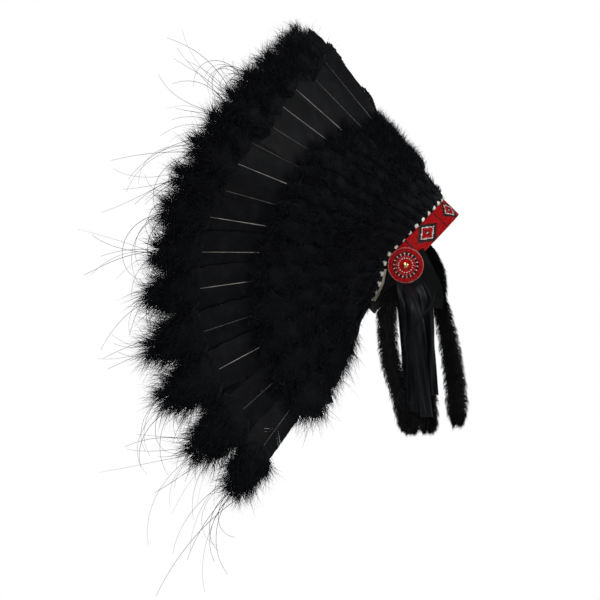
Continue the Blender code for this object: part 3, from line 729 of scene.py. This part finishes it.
def make_feather(number):
    rng = np.random.default_rng(SEED * 1000 + number + 50)
    shaft = Shaft(number)
    length, place, side = shaft.length, abs(number), side_of(number)
    batch = Batch()
    bare = BARE.get(number)
    last, front, low = place == PER_SIDE, place <= 3, place >= 14
    turn, *sides = VANES.get(number, (0, 1.0, 1.0))
    if last:
        sides = (1.0, 0.7) if number > 0 else (0.7, 1.0)
    twist = math.radians(turn) + rng.normal() * 0.05
    if bare:
        add_blade(batch, shaft, rng, 0.38, bare, sides, twist, split=0.35 if number == 1 else 0.08)
    else:
        add_blade(batch, shaft, rng, 0.44, 0.90, sides, twist)
    light = rng.random() < (0.45 if place > 3 else 0.0)
    add_shaft(batch, shaft, bare or 0.93)
    top = by_number(number, TOPS)
    top += rng.normal() * 0.008
    tip, ends = by_number(number, TIPS) + rng.normal() * 0.01, by_number(number, ENDS)
    brush = 12 <= place <= 15
    sink = 0.012 if place == 2 else 0.0
    deep = (0.011, 0.0055) if front else (0.0125, 0.012)
    fuller, shift = (1.12, 0.40 * side) if last else (1.0, 0.0)
    favour = math.pi / 2 if front else None
    if last:
        favour = 0.0 if number > 0 else math.pi

    def base_half(share):
        wide = np.interp(share, (0.0, 0.13, 0.20, top - 0.09, top), (0.50, 0.58, 0.70, 0.66, 0.14))
        return wide * shaft.pitch(share * length) * fuller

    def base_depth(share):
        return np.interp(share, (0.0, 0.13, 0.19, top - 0.10, top), (0.0032, 0.0050, *deep, 0.0015))

    def tip_half(share):
        pitch = np.clip(shaft.pitch(share * length), 0.048, 0.052 if last else 0.078)
        wide = (0.34, 0.56, 0.32, 0.08) if brush else (0.20, 0.52, 0.48, 0.14) if last else (0.34, 0.60, 0.50, 0.16)
        return np.interp(share, (tip, tip + 0.04, ends - 0.04, ends), wide) * pitch

    def tip_depth(share):
        thick = (0.002, 0.0085, 0.0065, 0.0015) if place > 2 else (0.004, 0.016, 0.013, 0.003)
        return np.interp(share, (tip, tip + 0.04, ends - 0.04, ends), thick)

    own = batch, shaft, rng
    base = base_half, base_depth
    add_core(*own, 0.006 if place < 11 else 0.016, top, *base, shift=shift)
    add_fluff(*own, 0.02, 0.14, *base, 22, 15, 0.012, (40, 75), (0, 40), 0.0011)
    add_fluff(
        *own, 0.14, top, *base, 205, 14, 0.021 if front else 0.038 if low else 0.032, (34, 82), (-8, 66),
        0.00085, favour=favour, shift=shift, edges=0.35 if low else 0.2,
    )
    if not bare:
        add_core(*own, tip, ends, tip_half, tip_depth, rings=11, sink=sink)
        add_fluff(
            *own, tip, ends + 0.015, tip_half, tip_depth, 195, 15, 0.046 if brush else 0.029 if place < 3 else 0.034,
            *(((8, 58), (-10, 34)) if brush else ((18, 75), (-12, 50))), 0.0008, edges=0.5, outer=0.85, sink=sink,
        )
    share = fan_value(number, 4)
    if share > 0:
        add_hair(batch, shaft, rng, share)
    name = f"feather_{number + PER_SIDE + 1:02d}"
    materials = [DOWN, BLADE, SHAFT_LIGHT if light else SHAFT_DARK, WRAP, DOWN]
    batch.piece(name + "_plumes", materials, [name])


for number in range(-PER_SIDE, PER_SIDE + 1):
    make_feather(number)


def barrel(radius, length, sides):
    """One bead about its own X axis: points and quads."""
    rings = []
    for place, share in ((-0.5, 0.496), (-0.42, 0.80), (0.0, 1.0), (0.42, 0.80), (0.5, 0.496)):
        rings.append(place * length * AHEAD + around(circle(sides), radius * share * LEFT, radius * share * UPWARDS))
    return np.concatenate(rings), faces_between(5, sides)


def add_beads(batch, rows, radius, length, rng, sides=6):
    """Beads from rows of (centre, axis it is strung along, way out of its backing, material)."""
    centres, axes, outs, slots = map(np.array, zip(*rows))
    shape, faces = barrel(radius, length, sides)
    if len(centres) > 200:
        shape, faces = shape[sides : 4 * sides], faces_between(3, sides)
    x = unit(axes)
    y = unit(np.cross(outs, x))
    z = np.cross(x, y)
    size = rng.uniform(0.93, 1.05, (len(centres), 1, 1))
    points = centres[:, None] + size * (
        shape[None, :, :1] * x[:, None] + shape[None, :, 1:2] * y[:, None] + shape[None, :, 2:] * z[:, None]
    )
    tone = np.repeat(rng.random(len(centres)), len(shape))
    uv = np.stack([tone, np.full(len(tone), 0.5)], axis=-1)
    every = (faces[None] + (np.arange(len(centres)) * len(shape))[:, None, None]).reshape(-1, 4)
    batch.add(points, every, np.repeat(slots, len(faces)), uv)


def curved_strip(batch, angles, low, high, offset, wall, slot, rows, rounded, closed=False):
    """A strip on the loop with a wall inwards and rounded edges."""
    side, turn = sides_and_turns(angles)
    shares = np.arange(rows) / (rows - 1)
    lips = np.where(np.isin(np.arange(rows), (0, rows - 1)), rounded, 0.0)
    shares = np.append(shares, shares[::-1])
    outs = np.append(offset - lips, offset - wall + lips)
    lines = [loop_point(turn, out, low + (high - low) * share, side) for share, out in zip(shares, outs)]
    ring = np.stack(lines, axis=1)
    count, per = len(angles), len(shares)
    faces = faces_between(count, per)
    if closed:
        k = np.arange(per)
        last, after = (count - 1) * per, (k + 1) % per
        faces = np.vstack([faces, np.stack([last + k, last + after, after, k], axis=-1)])
    batch.add(ring, faces, slot, uv_grid(shares * BAND_HEIGHT, run_along(ring[:, 0])))
    if not closed:
        quads = np.array([[k, k + 1, per - 2 - k, per - 1 - k] for k in range(rows - 1)])
        add_caps(batch, ring[0], ring[-1], quads, slot)


def chart(x, y):
    """Colour of a bead of the band: 0 red, 1 black, 2 white. x is from the middle of a panel, y from the band's."""
    outer = abs(x) / 0.0245 + abs(y) / 0.0178
    inner = abs(x) / 0.0162 + abs(y) / 0.0122
    if abs(x) > PANEL / 2 - 0.0009:
        return 1
    if inner > 1.0:
        return 1 if outer <= 1.0 else 0
    if inner > 0.83:
        return 2
    middle = abs(x) / 0.0042 + abs(y) / 0.0042
    if middle < 0.42:
        return 2
    return 1 if middle < 1.0 else 0


def make_brow_band():
    rng = np.random.default_rng(SEED + 1)
    batch = Batch()
    end = math.radians(ROSETTE_ANGLE)
    angles = np.linspace(-end, end, 121)
    curved_strip(batch, angles, 0.0, BAND_HEIGHT, -0.0006, BAND_WALL - 0.0006, 3, 7, 0.0006)
    reach = float(np.interp(end, ANGLES, ARCS)) - 0.001
    columns, rows = int(2 * reach / SEED_BEAD_PITCH), 19
    beads = []
    for c in range(columns):
        run = -reach + (c + 0.5) * 2 * reach / columns
        side = 1 if run >= 0 else -1
        angle, after = (float(np.interp(abs(run) + more, ARCS, ANGLES)) for more in (0.0, 0.001))
        axis = unit(loop_point(after, 0.0, 0.0, side) - loop_point(angle, 0.0, 0.0, side)) * side
        for r in range(rows):
            height = BAND_HEIGHT * (r + 0.5) / rows
            wave = 0.00012 * math.sin(c * 1.7 + r)
            centre = loop_point(angle, -0.00035 + wave, height + rng.normal() * 0.00005, side)
            colour = chart(abs(run) % PANEL - PANEL / 2, height - BAND_HEIGHT / 2)
            beads.append((centre, axis, loop_normal(angle, side), colour))
    add_beads(batch, beads, 0.00096, 0.00182, rng)
    side, turn = sides_and_turns(angles)
    for edge in (0.0004, BAND_HEIGHT - 0.0004):
        add_tube(batch, loop_point(turn, -0.0009, edge, side), 0.0006, 6, 4)
    batch.piece("brow_band_beadwork", [RED, BLACK, WHITE, BACKING, STITCH], ["brow_band"])


def rosette_frame(side):
    """The middle of a rosette's back, and its axis, which points outwards."""
    angle = math.radians(ROSETTE_ANGLE)
    height = BEAD_HEIGHT - BEAD_RADIUS - CLEARANCE - ROSETTE_RADIUS
    return loop_point(angle, CLEARANCE, height, side), loop_normal(angle, side)


# Colours of the rosette's beads by ring, out to a share of the way from the middle of a ray to the next ray:
# 0 red, 1 black, 2 white, 4 pale red.
RAY_COLOURS = {
    7: ((0.5, 4), (2.0, 0)), 8: ((0.34, 4), (0.72, 0), (2.0, 1)), 9: ((0.34, 4), (2.0, 1)),
    10: ((0.30, 2), (0.50, 0), (2.0, 1)), 11: ((0.16, 2), (0.72, 0), (2.0, 1)),
}
# The rosette's backing and its stud, as radius and height. The backing's radii are measured in from the rim.
BACKING_PROFILE = ((0.0022, 0.0), (0.0009, 0.0004), (0.0006, 0.0014), (0.0012, 0.0026), (0.0026, 0.0031))
STUD_PROFILE = (
    (0.0002, 0.0), (0.0044, 0.0), (0.0046, 0.0004), (0.0045, 0.0008), (0.0040, 0.0011), (0.0036, 0.0012),
    (0.0034, 0.0018), (0.0026, 0.0026), (0.0014, 0.0031), (0.0001, 0.0032),
)


def make_rosette(word, side):
    rng = np.random.default_rng(SEED + 5 + side)
    batch = Batch()
    centre, axis = rosette_frame(side)
    sideways = unit(np.cross(CROWN, axis))
    up = np.cross(axis, sideways)

    def place(radius, turn, height):
        return centre + radius * around(turn, sideways, up) + height * axis

    turns = circle(72)
    sloped = [(ROSETTE_RADIUS - inset, height) for inset, height in BACKING_PROFILE]
    profile = [(0.0002, 0.0), *sloped, (0.0002, 0.0032)]
    rings = np.array([place(radius, turns, height) for radius, height in profile])
    batch.add(rings, faces_between(len(profile), len(turns))[:, ::-1], 3)
    gap = (ROSETTE_RADIUS - 0.0015) / ROSETTE_RINGS
    beads = []
    for ring in range(2, ROSETTE_RINGS):
        radius = gap * (ring + 0.35)
        count = max(int(FULL_TURN * radius / SEED_BEAD_PITCH), 6)
        if 5 <= ring <= 11:
            count = RAYS * max(round(count / RAYS), 1)
        swell = 0.0034 + 0.0005 * math.cos(ring / (ROSETTE_RINGS - 1) * math.pi / 2)
        for k in range(count):
            turn = FULL_TURN * (k + 0.5) / count
            off = abs((turn / FULL_TURN * RAYS) % 1.0 - 0.5) * 2
            colour = 0
            if ring == 6:
                colour = 2 if k % 2 else 0
            elif ring in RAY_COLOURS:
                colour = next(colour for limit, colour in RAY_COLOURS[ring] if off < limit)
            elif ring > 11 and rng.random() < 0.05:
                colour = 1
            beads.append((place(radius, turn, swell), around(turn, up, -sideways), axis, colour))
    add_beads(batch, beads, 0.00094, 0.0018, rng)
    beads = []
    for turn in circle(88):
        out = unit(around(turn, sideways, up) + axis)
        beads.append((place(ROSETTE_RADIUS - 0.0009, turn, 0.0021), around(turn, up, -sideways), out, 4))
    add_beads(batch, beads, 0.00105, 0.0019, rng, 8)
    batch.piece(f"rosette_{word}_beadwork", [RED, BLACK, WHITE, BACKING, PINK], [f"rosette_{word}"])

    stud = Batch()
    turns = circle(24)
    rings = []
    for radius, height in STUD_PROFILE:
        ripple = 1.0 + (0.035 * np.cos(turns * 8)[:, None] if 0.0020 < radius < 0.0037 else 0.0)
        rings.append(place(radius * ripple, turns, ROSETTE_THICKNESS + CLEARANCE + height))
    stud.add(np.array(rings), faces_between(len(STUD_PROFILE), len(turns))[:, ::-1])
    stud.piece(f"rosette_{word}_stud", [BRASS], [f"rosette_stud_{word}"])


# A lacing bead's outline along its hole: place and share of its radius.
LACING_BEAD = (
    (-0.36, 0.30), (-0.5, 0.42), (-0.5, 0.66), (-0.40, 0.86), (-0.18, 0.95), (0.18, 0.95), (0.40, 0.86), (0.5, 0.66),
    (0.5, 0.42), (0.36, 0.30),
)


def make_lacing():
    """The white beads at the feather bases, on the cord that runs through them."""
    rng = np.random.default_rng(SEED + 9)
    batch = Batch()
    numbers = range(-PER_SIDE, PER_SIDE + 1)
    centres = np.array([bead_centre(number) for number in numbers])
    turn = circle(10, 0.5)
    square = 1.0 / np.maximum(np.abs(np.cos(turn)), np.abs(np.sin(turn))) ** 0.45
    ways = unit(np.gradient(centres, axis=0))
    for number, centre, way in zip(numbers, centres, ways):
        y = loop_normal(feather_angle(number), side_of(number))
        x = unit(way + rng.normal() * 0.22 * np.cross(way, y))
        spokes = square[:, None] * around(turn, y, unit(np.cross(x, y)))
        size = rng.uniform(1.10, 1.26)
        rings = [centre + size * (place * 0.0056 * x + BEAD_RADIUS * share * spokes) for place, share in LACING_BEAD]
        tone = np.full((len(rings) * len(turn), 2), rng.random())
        batch.add(np.array(rings), faces_between(len(rings), len(turn)), 0, tone)
    add_tube(batch, smooth_route(centres, 3), 0.0006, 6, 1)
    batch.piece("lacing_beads_string", [WHITE, STITCH], ["lacing_beads"])


def make_edge_cord(word, side):
    """Three plies laid round each other."""
    batch = Batch()
    offset = STRIP_OFFSET + CLEARANCE + EDGE_CORD_RADIUS
    angles = np.linspace(math.radians(ROSETTE_ANGLE + 15), feather_angle(PER_SIDE), 150)
    drop = BEAD_RADIUS + CLEARANCE + EDGE_CORD_RADIUS
    path = loop_point(angles, offset, bead_height(angles) - drop, side)
    for start in circle(3):
        turn = run_along(path) / 0.0062 * FULL_TURN + start
        add_tube(batch, path + 0.00115 * around(turn, *tube_frame(path)), 0.00112, 7, 0)
    batch.piece(f"edge_cord_{word}_twist", [CORD], [f"edge_cord_{word}"])


def make_crown_strip():
    batch = Batch()
    angles = circle(160, 0.5) - math.pi
    side, turn = sides_and_turns(angles)
    start = math.radians(ROSETTE_ANGLE + 12)
    share = np.clip((turn - start) / (math.pi - start), 0.0, 1.0)
    low = -0.016 * np.sin(share * math.pi / 2) ** 1.5
    high = bead_height(turn) + BEAD_RADIUS
    curved_strip(batch, angles, low, high, STRIP_OFFSET, STRIP_WALL, 0, 8, 0.0009, closed=True)
    for k in np.flatnonzero(turn >= math.radians(ROSETTE_ANGLE + 13)):
        ends = turn[k] + np.array([-0.011, 0.0, 0.011])
        middle = loop_normal(turn[k], side[k]) * np.array([[0.0], [0.0002], [0.0]])
        stitch = loop_point(ends, STRIP_OFFSET + 0.0002, low[k] + 0.0028, side[k])
        add_tube(batch, stitch + middle, 0.0004, 5, 1)
    batch.piece("crown_strip_felt", [FELT, STITCH], ["crown_strip"])


make_brow_band()
for word, side in (("right", 1), ("left", -1)):
    make_rosette(word, side)
    make_edge_cord(word, side)
make_lacing()
make_crown_strip()

# Routes of the drops, as shares of their length: forward, outward, down, then thickness or width, and the turn.
FUR_REAR = (
    (0.0, 0.0, 0.0, 0.0), (-0.036, -0.004, 0.068, 0.26), (-0.064, 0.016, 0.112, 0.56), (-0.098, 0.044, 0.165, 0.92),
    (-0.110, 0.048, 0.27, 1.0), (-0.102, 0.048, 0.46, 0.96), (-0.074, 0.044, 0.62, 0.94), (-0.022, 0.044, 0.78, 0.98),
    (0.010, 0.044, 0.91, 0.94), (0.014, 0.044, 1.0, 0.45),
)
FUR_MIDDLE = (
    (0.0, 0.0, 0.0, 0.0), (0.0, -0.004, 0.085, 0.0), (0.006, -0.018, 0.150, 0.24), (0.032, -0.024, 0.22, 0.44),
    (0.056, -0.018, 0.38, 0.46), (0.062, -0.014, 0.56, 0.62), (0.062, -0.010, 0.76, 0.84), (0.072, -0.006, 0.94, 0.98),
    (0.074, -0.006, 1.05, 0.88), (0.074, -0.006, 1.10, 0.42),
)
FUR_FRONT = (
    (0.0, 0.0, 0.0, 0.0), (0.008, 0.012, 0.025, 0.34), (0.026, 0.034, 0.080, 0.66), (0.052, 0.040, 0.160, 0.80),
    (0.062, 0.040, 0.235, 0.74), (0.064, 0.040, 0.300, 0.62), (0.082, 0.040, 0.375, 0.92), (0.120, 0.040, 0.55, 1.14),
    (0.148, 0.040, 0.73, 1.24), (0.164, 0.040, 0.90, 1.20), (0.168, 0.040, 1.0, 0.54),
)
RIBBON_REAR = (
    (0.0, 0.0, 0.0, 0.42, 0.0), (0.006, 0.050, 0.07, 0.56, -6.0), (0.030, 0.095, 0.18, 1.0, -16.0),
    (0.048, 0.095, 0.36, 1.0, -6.0), (0.062, 0.090, 0.56, 0.96, -20.0), (0.075, 0.090, 0.78, 0.94, -8.0),
    (0.080, 0.090, 0.97, 0.80, -14.0),
)
RIBBON_MIDDLE = (
    (0.0, 0.0, 0.0, 0.42, 0.0), (0.014, 0.100, 0.08, 0.60, -6.0), (0.045, 0.165, 0.20, 1.0, -18.0),
    (0.062, 0.170, 0.38, 1.0, 10.0), (0.078, 0.165, 0.58, 0.98, 22.0), (0.100, 0.160, 0.80, 0.94, -8.0),
    (0.120, 0.160, 1.0, 0.82, -18.0),
)
RIBBON_FRONT = (
    (0.0, 0.0, 0.0, 0.42, 0.0), (0.034, 0.060, 0.05, 0.70, 10.0), (0.070, 0.100, 0.14, 0.92, 20.0),
    (0.085, 0.100, 0.30, 0.92, 12.0), (0.092, 0.100, 0.48, 0.90, -6.0), (0.104, 0.100, 0.66, 0.90, 10.0),
    (0.120, 0.100, 0.86, 0.80, 14.0),
)


def strap_start(angle, side):
    return loop_point(math.radians(angle), -(STRAP_RADIUS + CLEARANCE), -(CLEARANCE + STRAP_RADIUS), side)


def make_fur(name, start, side, table, length, seed):
    """A rabbit-fur strip: a soft hide core under hairs that lie downwards and out, on a thin thong."""
    rng = np.random.default_rng(SEED + seed)
    rows = np.array(table)
    points = start + length * (rows[:, :1] * AHEAD + rows[:, 1:2] * side * RIGHT + rows[:, 2:3] * DOWNWARDS)
    radii = np.maximum(rows[:, 3:4] * FUR_RADIUS, STRAP_RADIUS * 0.9)
    route = smooth_route(np.hstack([points, radii]), 6)
    path, thick = route[:, :3], np.maximum(route[:, 3], STRAP_RADIUS * 0.9)
    batch = Batch()
    furry = np.clip((thick - 0.0012) / 0.004, 0.0, 1.0)
    add_tube(batch, path, thick * (1.0 - 0.25 * furry), 10, 1)
    known = np.arange(len(path))
    many = int(9500 * run_along(path)[-1] / 0.26)
    place = rng.random(many) * (len(path) - 1)
    place = place[np.interp(place, known, furry) > rng.random(many) * 0.9]
    many = len(place)
    rows = (path, unit(np.gradient(path, axis=0)), *tube_frame(path))
    spot, way, one, two = (between(place, known, row) for row in rows)
    size = np.interp(place, known, thick) * 1.35
    lumps = 1.0 + 0.16 * np.sin(place * 1.9 + seed) * rng.random(many)
    turn = rng.random(many) * FULL_TURN
    turn = turn * 0.62 + np.round(turn * 3.2) / 3.2 * 0.38
    out = unit(around(turn, one, two))
    hair = np.minimum(0.013, 0.004 + size * 0.8) * rng.uniform(0.6, 1.2, many)
    steps = np.linspace(0.0, 1.0, 3)
    near_end = np.clip((len(path) - 1 - place) / 7.0, 0.0, 1.0)[:, None]
    rise = (hair * 0.62 * lumps)[:, None] * np.sin(steps * 1.35) * (0.45 + 0.55 * near_end)
    rise = (size * 0.50)[:, None] + rise
    fall = hair[:, None] * (0.72 * steps**1.4) * rng.uniform(0.5, 1.25, (many, 1))
    jitter = rng.normal(size=(many, 3, 3)) * 0.0007 * steps[None, :, None]
    paths = spot[:, None] + rise[..., None] * out[:, None] + fall[..., None] * way[:, None] + jitter
    widths = np.array([0.0009, 0.00075, 0.0003])[None, :] * rng.uniform(0.6, 1.1, (many, 1))
    add_strands(batch, paths, widths, rng)
    batch.piece(name + "_hair", [FUR, FELT], [name])


def rim_start(turn, side):
    """A point on a rosette's lower rim, and the way along the rim there."""
    centre, axis = rosette_frame(side)
    down = unit(DOWNWARDS - axis * float(DOWNWARDS @ axis))
    forward = unit(np.cross(axis, down)) * side
    angle = math.radians(turn)
    rim = around(angle, down, forward)
    point = centre + ROSETTE_THICKNESS * 0.5 * axis + (ROSETTE_RADIUS + 2 * CLEARANCE) * rim
    return point, around(angle, forward, -down)


def make_ribbon(name, turn, side, table, seed, layer=0.0):
    """A satin ribbon with soft folds along its length, as one thin sheet."""
    rng = np.random.default_rng(SEED + seed)
    start, rim = rim_start(turn, side)
    spoke = unit(start - rosette_frame(side)[0])
    share = np.linspace(-1.0, 1.0, RIBBON_COLUMNS)
    folds = rng.uniform(0.7, 1.3, 3)
    phase = rng.random(3) * PHASES
    grid = []
    for forward, outward, down, width, turn in smooth_route(np.array(table), 12):
        slim = 0.0 if side > 0 else 0.45 * min(down / 0.2, 1.0)
        forward = forward + 0.5 * slim * RIBBON_WIDTH / RIBBON_LENGTH
        point = start + RIBBON_LENGTH * (forward * AHEAD + outward * side * RIGHT + down * DOWNWARDS)
        point = point + layer * side * RIGHT
        follow = max(1.0 - down / 0.12, 0.0)
        across = unit(follow * rim + (1 - follow) * around(math.radians(turn), AHEAD, side * RIGHT))
        normal = unit(np.cross(across, DOWNWARDS)) * -side
        wave = 0.0024 * min(down / 0.15, 1.0) * (
            np.sin(share * 3.3 * folds[0] + 5.0 * down * folds[1] + phase[0])
            + 0.45 * np.sin(share * 7.0 * folds[2] - 9.0 * down + phase[1])
        )
        half = RIBBON_WIDTH * (max(width, 0.92) * 1.06) * (1.0 - slim) / 2
        lift = follow * ((share * half) ** 2 / (2 * ROSETTE_RADIUS) + 0.0006)
        grid.append(point + (share * half)[:, None] * across + wave[:, None] * normal - lift[:, None] * spoke)
    grid = np.array(grid)
    down = np.linalg.norm(np.diff(grid, axis=0), axis=2)
    batch = Batch()
    uv = uv_grid(share / 2 * RIBBON_WIDTH, run_along(grid[:, RIBBON_COLUMNS // 2]))
    batch.add(grid, faces_between(len(grid), RIBBON_COLUMNS, closed=False), 0, uv)
    item = batch.piece(name + "_satin", [SATIN], [name])
    wall = item.modifiers.new("wall", "SOLIDIFY")
    wall.thickness, wall.offset = SATIN_THICKNESS, 0.0


for name, ahead, side, table, length, seed in (
    ("fur_rear_right", 7, 1, FUR_REAR, FUR_LENGTH, 31),
    ("fur_middle_right", -9, 1, FUR_MIDDLE, FUR_LENGTH, 32),
    ("fur_rear_left", 3, -1, FUR_MIDDLE, FUR_LENGTH, 33),
    ("fur_front_left", -34, -1, FUR_FRONT, FUR_FRONT_LENGTH, 34),
):
    make_fur(name, strap_start(ROSETTE_ANGLE + ahead, side), side, table, length, seed)
make_ribbon("ribbon_rear_right", -13, 1, RIBBON_REAR, 41, 0.0008)
make_ribbon("ribbon_middle_right", 10, 1, RIBBON_MIDDLE, 42)
make_ribbon("ribbon_front_right", 32, 1, RIBBON_FRONT, 43, 0.0016)
make_ribbon("ribbon_rear_left", -13, -1, RIBBON_REAR, 44, 0.0008)
make_ribbon("ribbon_middle_left", 10, -1, RIBBON_MIDDLE, 45)


def make_strap(name, route, width, wall, seed):
    """A thong of thin hide: a flat strip with rounded edges, which turns as it hangs."""
    rng = np.random.default_rng(SEED + seed)
    rows = smooth_route(np.array(route), 10)
    path = rows[:, :3]
    tangent = unit(np.gradient(path, axis=0))
    across = around(np.radians(rows[:, 3]), AHEAD, RIGHT)
    across = unit(across - tangent * (across * tangent).sum(axis=1, keepdims=True))
    face = np.cross(tangent, across)
    turn = circle(12)
    flat = np.sign(np.cos(turn)) * np.abs(np.cos(turn)) ** 0.45
    high = np.sign(np.sin(turn)) * np.abs(np.sin(turn)) ** 0.7
    edge = 1.0 + rng.normal(size=(len(rows), 1, 1)) * 0.02
    ring = path[:, None] + edge * width / 2 * flat[None, :, None] * across[:, None]
    ring = ring + wall / 2 * high[None, :, None] * face[:, None]
    batch = Batch()
    batch.add(ring, faces_between(len(rows), len(turn)))
    add_caps(batch, ring[0], ring[-1], np.array([[0, k, k + 1] for k in range(1, len(turn) - 1)]))
    batch.piece(name, [LEATHER], ())


# Each row of a thong's route is a point in metres and a turn in degrees.
make_strap(
    "thong_front_right",
    ((0.000, -0.0795, 0.013, 0.0), (0.006, -0.080, 0.001, 8.0), (0.0152, -0.082, -0.018, 14.0),
     (0.0262, -0.084, -0.042, 6.0), (0.0295, -0.085, -0.062, -10.0), (0.028, -0.086, -0.074, -16.0)),
    0.0250, 0.0012, 51,
)
make_strap(
    "thong_crossing_right",
    ((0.0240, -0.108, -0.046, 30.0), (0.0235, -0.1165, -0.0590, 24.0), (0.0170, -0.1185, -0.0740, 12.0),
     (0.0045, -0.1190, -0.0895, 4.0), (-0.0050, -0.1190, -0.1040, 0.0), (-0.0085, -0.1190, -0.1150, -6.0)),
    0.0028, 0.0010, 52,
)


def make_stage():
    """A pale floor well below the drops, even white surroundings and soft lamps."""
    finish = cloudy_material(
        "pale_floor", (0.84, 0.84, 0.84), (0.88, 0.88, 0.88), (3.0, 2.0), None, roughness=0.7, specular=0.2
    )
    turns = circle(96)
    middle = np.array([-0.15, 0.0, FLOOR_HEIGHT])
    rings = [middle + r * around(turns, AHEAD, LEFT) for r in (0.01, 0.7, 1.4)]
    mesh = bpy.data.meshes.new("floor")
    mesh.from_pydata(np.concatenate(rings).tolist(), [], faces_between(3, len(turns)).tolist())
    mesh.materials.append(finish.material)
    new_object("floor", mesh)

    world = bpy.data.worlds.new("studio")
    bpy.context.scene.world = world
    world.use_nodes = True
    tree = world.node_tree
    white = (1.0, 1.0, 1.0, 1.0)
    plain = tree.nodes["Background"]
    plain.inputs["Color"].default_value = white
    plain.inputs["Strength"].default_value = 0.38
    seen = add_node(tree, "Background", Color=white, Strength=1.0)
    mix = add_node(tree, "MixShader")
    path = add_node(tree, "LightPath")
    for place, output in enumerate((path.outputs["Is Camera Ray"], plain.outputs[0], seen.outputs[0])):
        put(tree, mix.inputs[place], output)
    put(tree, tree.nodes["World Output"].inputs["Surface"], mix.outputs[0])

    for name, place, aim, size, power in (
        ("key", (-0.9, -1.9, 1.6), (-0.15, 0.0, -0.05), 1.1, 46.0),
        ("side", (1.7, -1.2, 0.7), (0.0, 0.0, 0.0), 0.9, 16.0),
        ("rear", (-1.9, 1.2, 1.0), (-0.2, 0.0, 0.0), 1.2, 18.0),
    ):
        lamp = bpy.data.lights.new(name, "AREA")
        lamp.shape, lamp.size, lamp.energy = "DISK", size, power
        item = new_object(name, lamp)
        item.location = place
        item.rotation_euler = (Vector(aim) - Vector(place)).to_track_quat("-Z", "Y").to_euler()
    bpy.context.scene.view_settings.view_transform = "Standard"


def make_camera():
    data = bpy.data.cameras.new("camera")
    data.sensor_width = SENSOR
    data.lens = SENSOR / (PHOTO_WIDTH * METRES_A_PIXEL / (CAMERA_DISTANCE - NEAR_SIDE))
    camera = new_object("camera", data)
    camera.location = (-0.18076, -CAMERA_DISTANCE, -0.06216)
    camera.rotation_euler = (math.pi / 2, 0.0, 0.0)
    bpy.context.scene.camera = camera


make_stage()
make_camera()
bpy.context.view_layer.update()
